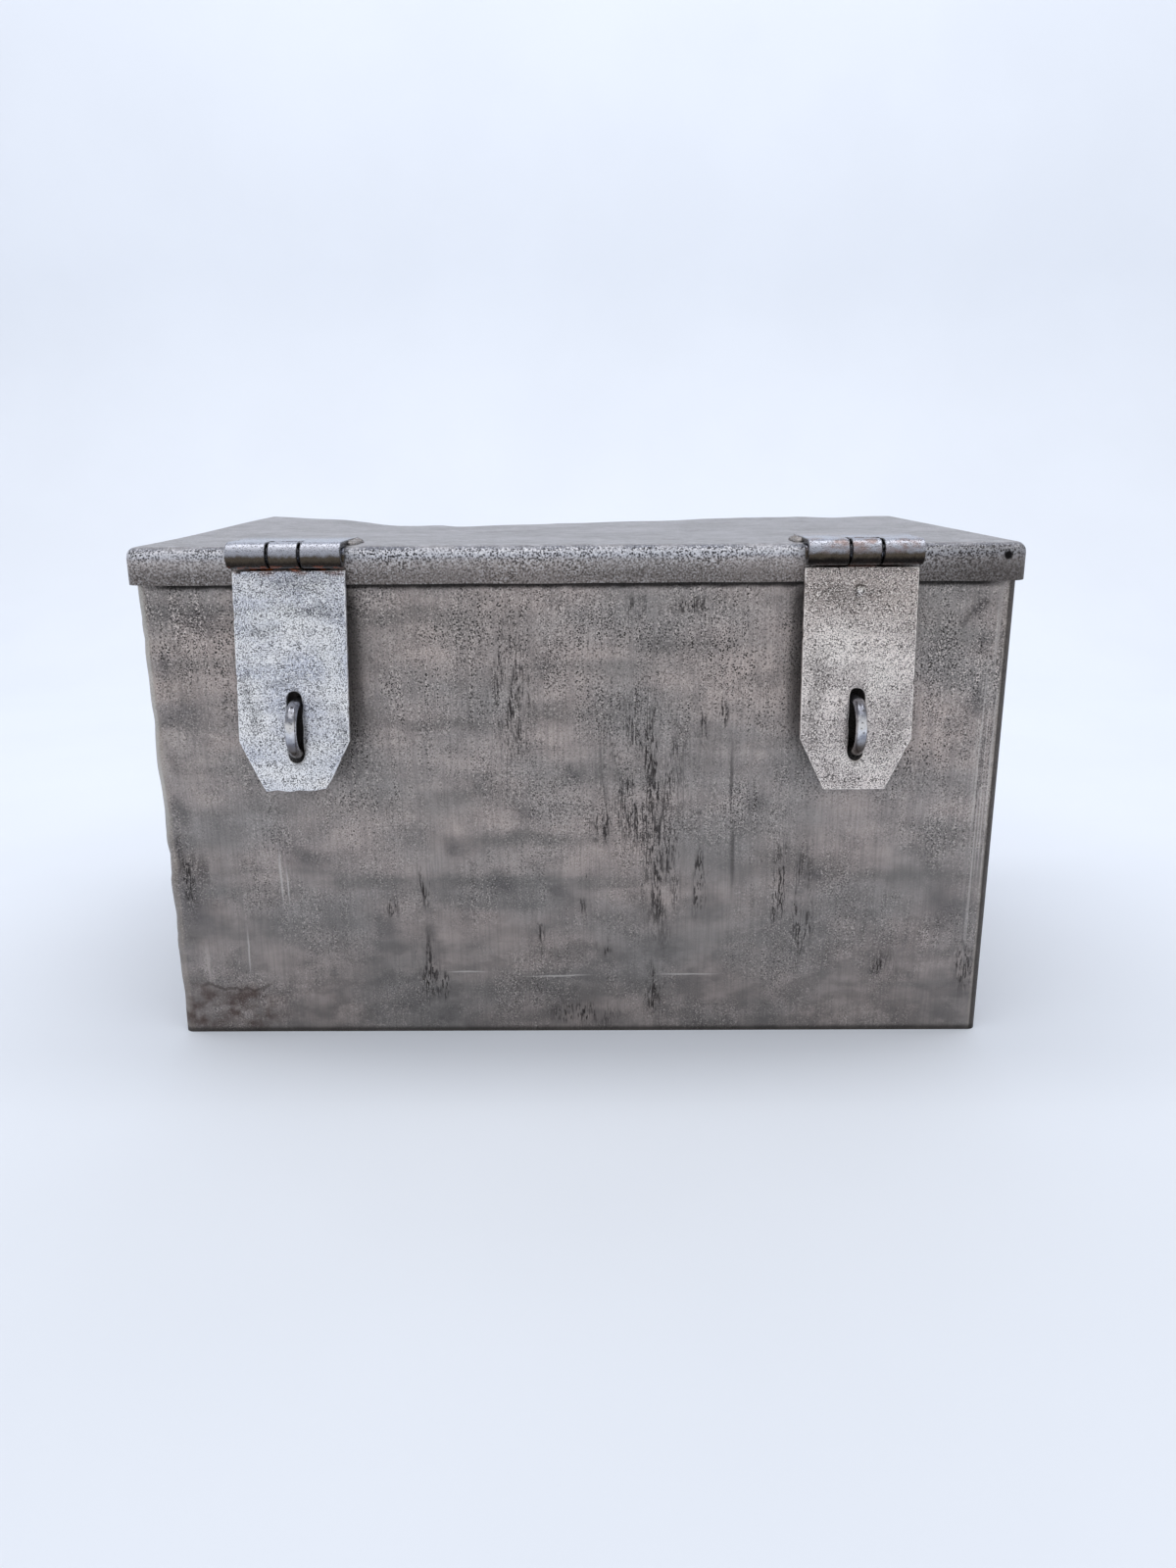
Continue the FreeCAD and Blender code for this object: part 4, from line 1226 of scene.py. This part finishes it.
def make_beads(node, leaf, run, normal):
    """Weld beads of laid ripples, along both edges of the left and right leaf."""
    low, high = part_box(node)
    leg = high[normal] - low[normal]
    grid = bmesh.new()
    draw = np.random.default_rng(BEAD_SEED)
    for side in SIDES:
        for edge, outward in zip(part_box(f"{leaf}_{side}"), SIDES.values()):
            sizes = draw.uniform(BEAD_LEAST_SHARE, 1.0, BEAD_RIPPLES + 1)
            rings = []
            for step in range(BEAD_STEPS + 1):
                share = step / BEAD_STEPS
                corner = Vector((edge.x, 0, 0))
                corner[normal] = low[normal]
                corner[run] = low[run] + (high[run] - low[run]) * share
                size = leg * bead_size(share, sizes[int(share * BEAD_RIPPLES)])
                rings.append([grid.verts.new(point) for point in bead_ring(corner, size, outward, normal)])
            skin(grid, rings)
    bmesh.ops.remove_doubles(grid, verts=grid.verts, dist=SAME_POINT)
    bmesh.ops.recalc_face_normals(grid, faces=grid.faces)
    piece = add_piece(node, grid)
    write_edge_distance(piece.data, [Vector((0, 0, 0))])
    finish_piece(piece, node)
    return piece


def staple_line(bend, leg):
    """The middle of a staple's rod: two straight legs and a half round bend between them."""
    line = [Vector((0, leg, bend))]
    for step in range(STAPLE_STEPS + 1):
        angle = math.pi * step / STAPLE_STEPS
        line.append(Vector((0, -bend * math.sin(angle), bend * math.cos(angle))))
    return line + [Vector((0, leg, -bend))]


def make_staple(side):
    """A rod bent into a smooth loop."""
    node = f"hasp_staple_{side}"
    low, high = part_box(node)
    radius = (high.x - low.x) / 2
    bend = (high.z - low.z) / 2 - radius
    middle = Vector(((low.x + high.x) / 2, low.y + radius + bend, (low.z + high.z) / 2))
    line = staple_line(bend, high.y - middle.y)
    grid = bmesh.new()
    rings = []
    for index, point in enumerate(line):
        ahead = (line[min(index + 1, len(line) - 1)] - line[max(index - 1, 0)]).normalized()
        out = Vector((1, 0, 0)).cross(ahead)
        ring = []
        for turn in range(STAPLE_SIDES):
            angle = math.tau * turn / STAPLE_SIDES
            offset = radius * (math.cos(angle) * Vector((1, 0, 0)) + math.sin(angle) * out)
            ring.append(grid.verts.new(middle + point + offset))
        rings.append(ring)
    skin(grid, rings)
    bmesh.ops.recalc_face_normals(grid, faces=grid.faces)
    piece = add_piece(node, grid)
    piece.data.set_sharp_from_angle(angle=SHARP_ANGLE)
    finish_piece(piece, node)


def settle(piece):
    """Lets what is welded to the rear skirt go down with it."""
    points = read_vectors(piece.data.vertices, "co")
    points[:, 2] += skirt_drop(points)
    write_points(piece.data, points)


SHEETS = {"body_wrap": wear_body, "back_panel": wear_back, "bottom_pan": wear_pan, "lid_shell": wear_lid}
for node, wear in SHEETS.items():
    dress(node, SHEET_GRID, 0.0, BEND_ANGLE, wear)
dress("hasp_strap_left", STRAP_GRID, EDGE_ROUND, SHARP_ANGLE, wear_left_strap)
dress("hasp_strap_right", STRAP_GRID, EDGE_ROUND, SHARP_ANGLE, wear_right_strap)
for side in SIDES:
    make_staple(side)
    for node in ("hasp_leaf", "hinge_body_leaf", "hinge_lid_leaf", "hasp_pin", "hinge_pin"):
        wear = wear_lid_leaf if node == "hinge_lid_leaf" else wear_bar
        dress(f"{node}_{side}", LEAF_GRID, EDGE_ROUND, SHARP_ANGLE, wear)
dress("staple_welds", BEAD_GRID, 0.0, SHARP_ANGLE, wear_ring_bead)
make_beads("hasp_leaf_welds", "hasp_leaf", 1, 2)
settle(make_beads("hinge_lid_welds", "hinge_lid_leaf", 2, 1))
make_beads("hinge_body_welds", "hinge_body_leaf", 2, 1)

# Studio
STAGE_WIDTH = 4.0
STAGE_FRONT = -3.0
STAGE_REAR = 1.6
STAGE_HEIGHT = 3.0
SWEEP = 0.7
SWEEP_STEPS = 24
FLOOR_TONE = ((0.30,) * 3, 3, 0, 0.3, 0.7)
FLOOR_DARK = (222, 227, 236)
FLOOR_PALE = (225, 230, 239)
FLOOR_ROUGHNESS = 0.9
SKY_COLOUR = (0.95, 0.97, 1.0, 1.0)
SKY_STRENGTH = 0.72
OVERHEAD = {"energy": 24, "size": (3.6, 2.6), "place": (0.0, -0.8, 2.5), "tilt": math.radians(-16)}
WASH = {"energy": 34, "size": (4.0, 1.0), "place": (0.0, 0.3, 2.6), "tilt": math.radians(48)}


def make_stage():
    """A pale floor that sweeps up into a white backdrop."""
    line = [Vector((0, STAGE_FRONT, 0))]
    for step in range(SWEEP_STEPS + 1):
        angle = math.pi / 2 * step / SWEEP_STEPS
        depth = STAGE_REAR - SWEEP + SWEEP * math.sin(angle)
        line.append(Vector((0, depth, SWEEP - SWEEP * math.cos(angle))))
    line.append(Vector((0, STAGE_REAR, STAGE_HEIGHT)))
    stage_mesh = bpy.data.meshes.new("studio_sweep")
    corners = [point + Vector((side * STAGE_WIDTH, 0, 0)) for point in line for side in SIDES.values()]
    faces = [(2 * i, 2 * i + 1, 2 * i + 3, 2 * i + 2) for i in range(len(line) - 1)]
    stage_mesh.from_pydata(corners, [], faces)
    stage_mesh.shade_smooth()
    look = Look("pale_studio_floor")
    look.colour = look.blend(look.cover(*FLOOR_TONE), FLOOR_DARK, FLOOR_PALE)
    stage_mesh.materials.append(look.done(FLOOR_ROUGHNESS))
    add_object("studio_sweep", stage_mesh)


def make_softbox(name, energy, size, place, tilt):
    """A large soft light that points down, tilted to the front or back."""
    light = bpy.data.lights.new(name, "AREA")
    light.energy = energy
    light.shape = "RECTANGLE"
    light.size, light.size_y = size
    add_object(name, light).matrix_world = Matrix.Translation(place) @ Matrix.Rotation(tilt, 4, "X")


def make_lights():
    """Soft sky light from all round, brighter from above and in front."""
    world = bpy.data.worlds.new("soft_sky")
    bpy.context.scene.world = world
    world.use_nodes = True
    background = world.node_tree.nodes["Background"]
    background.inputs["Color"].default_value = SKY_COLOUR
    background.inputs["Strength"].default_value = SKY_STRENGTH
    make_softbox("overhead_softbox", **OVERHEAD)
    make_softbox("backdrop_wash", **WASH)


def make_camera():
    """The photograph's camera."""
    lens = bpy.data.cameras.new("photo_camera")
    lens.sensor_width = SENSOR
    lens.lens = FOCAL_PIXELS / PHOTO_HEIGHT * SENSOR
    camera = add_object("photo_camera", lens)
    turn = Matrix.Rotation(CAMERA_YAW, 4, "Z") @ Matrix.Rotation(math.pi / 2 - CAMERA_PITCH, 4, "X")
    camera.matrix_world = Matrix.Translation(CAMERA_PLACE) @ turn @ Matrix.Rotation(CAMERA_ROLL, 4, "Z")
    bpy.context.scene.camera = camera


make_stage()
make_lights()
make_camera()
bpy.context.scene.view_settings.view_transform = "Standard"
